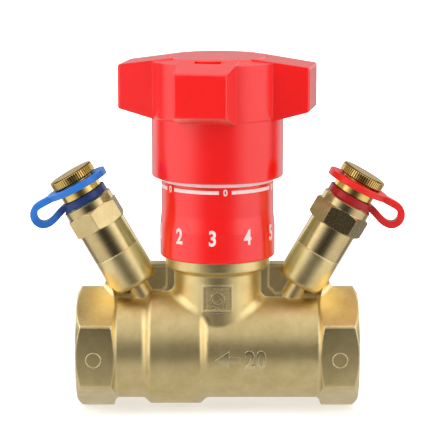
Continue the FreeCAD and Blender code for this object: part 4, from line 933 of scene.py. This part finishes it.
def make_camera():
    data = bpy.data.cameras.new("camera")
    data.sensor_width = SENSOR
    data.lens = FOCAL_PIXELS / PICTURE_SIDE * SENSOR
    data.shift_x = (PICTURE_SIDE / 2 - STEM_PIXEL) / PICTURE_SIDE
    data.clip_start = 0.01
    data.clip_end = 100
    camera = bpy.data.objects.new("camera", data)
    camera.location = (0, -CAMERA_BACK, PIPE_AXIS + CAMERA_RISE)
    camera.rotation_euler = (math.pi / 2 - CAMERA_DOWN, 0, 0)
    bpy.context.scene.collection.objects.link(camera)
    bpy.context.scene.camera = camera


# The studio's level at so many degrees from the camera's side. A ramp holds no level above 1, so each is
# kept as its share of the brightest.
BRIGHTEST = 1.75
RING_LEVELS = [
    (0, 0.08), (24, 0.12), (38, 0.85), (54, BRIGHTEST), (98, BRIGHTEST), (108, 0.25), (122, 0.25),
    (132, 1.5), (152, 1.3), (162, 0.4), (180, 0.4),
]


def make_studio_ring():
    """How bright the studio is in a direction: dark behind the camera, soft boxes at its sides."""
    group, start, end = effect_group(
        "studio_ring", [("Vector", "NodeSocketVector")], [("Level", "NodeSocketFloat")],
    )
    parts = add_node(group, "ShaderNodeSeparateXYZ")
    link(group, start.outputs["Vector"], parts.inputs["Vector"])
    sideways = math_node(group, "ABSOLUTE", parts.outputs["X"])
    forward = math_node(group, "MULTIPLY", parts.outputs["Y"], -1.0)
    around = math_node(group, "ARCTAN2", sideways, forward)
    ring = add_node(group, "ShaderNodeValToRGB")
    ring.color_ramp.interpolation = "B_SPLINE"
    stops = ring.color_ramp.elements
    while len(stops) < len(RING_LEVELS):
        stops.new(0.5)
    for stop, (angle, level) in zip(stops, RING_LEVELS):
        stop.position = angle / 180
        share = level / BRIGHTEST
        stop.color = (share, share, share, 1)
    link(group, math_node(group, "DIVIDE", around, math.pi), ring.inputs["Fac"])
    link(group, math_node(group, "MULTIPLY", ring.outputs["Color"], BRIGHTEST), end.inputs["Level"])
    return group


STUDIO_RING = make_studio_ring()


FLOOR_MIRRORED = 0.6
FLOOR_DROP = 0.0005


def make_floor():
    """A pale floor under the valve. The camera sees it white, apart from the valve's soft shadow."""
    bm = bmesh.new()
    bmesh.ops.create_grid(bm, x_segments=1, y_segments=1, size=6.0)
    mesh = bpy.data.meshes.new("floor")
    bm.to_mesh(mesh)
    bm.free()
    material = bpy.data.materials.new("floor")
    material.use_nodes = True
    tree = material.node_tree
    tree.nodes.clear()
    output = add_node(tree, "ShaderNodeOutputMaterial")
    place = add_node(tree, "ShaderNodeTexCoord").outputs["Object"]
    reach = add_node(tree, "ShaderNodeVectorMath", operation="LENGTH")
    link(tree, place, reach.inputs[0])
    path = add_node(tree, "ShaderNodeLightPath")
    diffuse = add_node(tree, "ShaderNodeBsdfDiffuse")
    diffuse.inputs["Color"].default_value = (0.8, 0.8, 0.8, 1)
    glow = add_node(tree, "ShaderNodeEmission")
    white = map_range(tree, reach.outputs["Value"], 0.12, 0.30, 0.5, 1.0, smooth=True)
    link(tree, math_node(tree, "MULTIPLY", path.outputs["Is Camera Ray"], white), glow.inputs["Strength"])
    seen = add_node(tree, "ShaderNodeAddShader")
    link(tree, diffuse.outputs["BSDF"], seen.inputs[0])
    link(tree, glow.outputs["Emission"], seen.inputs[1])
    ring = place_group(tree, STUDIO_RING)
    link(tree, place, ring.inputs["Vector"])
    near = map_range(tree, reach.outputs["Value"], 0.03, 0.12, smooth=True)
    level = add_node(tree, "ShaderNodeMix", data_type="FLOAT")
    link(tree, near, level.inputs["Factor"])
    level.inputs["A"].default_value = FLOOR_MIRRORED
    link(tree, math_node(tree, "MULTIPLY", ring.outputs["Level"], FLOOR_MIRRORED), level.inputs["B"])
    mirrored = add_node(tree, "ShaderNodeEmission")
    link(tree, level.outputs["Result"], mirrored.inputs["Strength"])
    both = add_node(tree, "ShaderNodeMixShader")
    link(tree, path.outputs["Is Glossy Ray"], both.inputs["Fac"])
    link(tree, seen.outputs["Shader"], both.inputs[1])
    link(tree, mirrored.outputs["Emission"], both.inputs[2])
    link(tree, both.outputs["Shader"], output.inputs["Surface"])
    floor = mesh_object("floor", mesh, material)
    floor.location = (0, 0, -FLOOR_DROP)


RING_MIRRORED = 1.04
MATT_LEVEL = 0.44
CEILING_LEVELS = (0.56, 1.6)


def make_world():
    """A white studio: soft boxes at both sides, a darker camera side, and an even light for matt surfaces."""
    world = bpy.data.worlds.new("studio")
    bpy.context.scene.world = world
    world.use_nodes = True
    tree = world.node_tree
    tree.nodes.clear()
    output = add_node(tree, "ShaderNodeOutputWorld")
    background = add_node(tree, "ShaderNodeBackground")
    background.inputs["Color"].default_value = (1, 1, 1, 1)
    link(tree, background.outputs["Background"], output.inputs["Surface"])
    direction = add_node(tree, "ShaderNodeTexCoord").outputs["Generated"]
    ring = place_group(tree, STUDIO_RING)
    link(tree, direction, ring.inputs["Vector"])
    parts = add_node(tree, "ShaderNodeSeparateXYZ")
    link(tree, direction, parts.inputs["Vector"])
    cap_share = map_range(tree, parts.outputs["Z"], 0.24, 0.58, smooth=True)
    aside = math_node(tree, "ABSOLUTE", parts.outputs["X"])
    cap_level = map_range(tree, aside, 0.12, 0.6, *CEILING_LEVELS, smooth=True)
    ceiling = math_node(tree, "MULTIPLY", cap_share, cap_level)
    sides = math_node(tree, "MULTIPLY", ring.outputs["Level"], RING_MIRRORED)
    around = math_node(tree, "MAXIMUM", sides, ceiling)
    path = add_node(tree, "ShaderNodeLightPath")
    mirrored = math_node(tree, "MAXIMUM", path.outputs["Is Glossy Ray"], path.outputs["Is Transmission Ray"])
    lit = add_node(tree, "ShaderNodeMix", data_type="FLOAT")
    link(tree, mirrored, lit.inputs["Factor"])
    lit.inputs["A"].default_value = MATT_LEVEL
    link(tree, around, lit.inputs["B"])
    seen = add_node(tree, "ShaderNodeMix", data_type="FLOAT")
    link(tree, path.outputs["Is Camera Ray"], seen.inputs["Factor"])
    link(tree, lit.outputs["Result"], seen.inputs["A"])
    seen.inputs["B"].default_value = 1.0
    link(tree, seen.outputs["Result"], background.inputs["Strength"])


def make_softbox(name, place, size, power):
    """A soft lamp that points at the valve. It lights surfaces, and reflections don't show it."""
    data = bpy.data.lights.new(name, "AREA")
    data.shape = "RECTANGLE"
    data.size, data.size_y = size
    data.energy = power
    lamp = bpy.data.objects.new(name, data)
    lamp.location = place
    lamp.rotation_euler = (Vector((0, 0, 0.05)) - Vector(place)).to_track_quat("-Z", "Y").to_euler()
    lamp.visible_glossy = False
    bpy.context.scene.collection.objects.link(lamp)


make_camera()
make_floor()
make_world()
make_softbox("left_softbox", (-0.9, -0.5, 0.6), (0.7, 0.9), 7.0)
make_softbox("right_softbox", (0.9, -0.6, 0.5), (0.7, 0.9), 5.0)
make_softbox("top_softbox", (0.0, -0.1, 1.2), (1.0, 1.0), 8.0)
bpy.context.scene.view_settings.view_transform = "Standard"
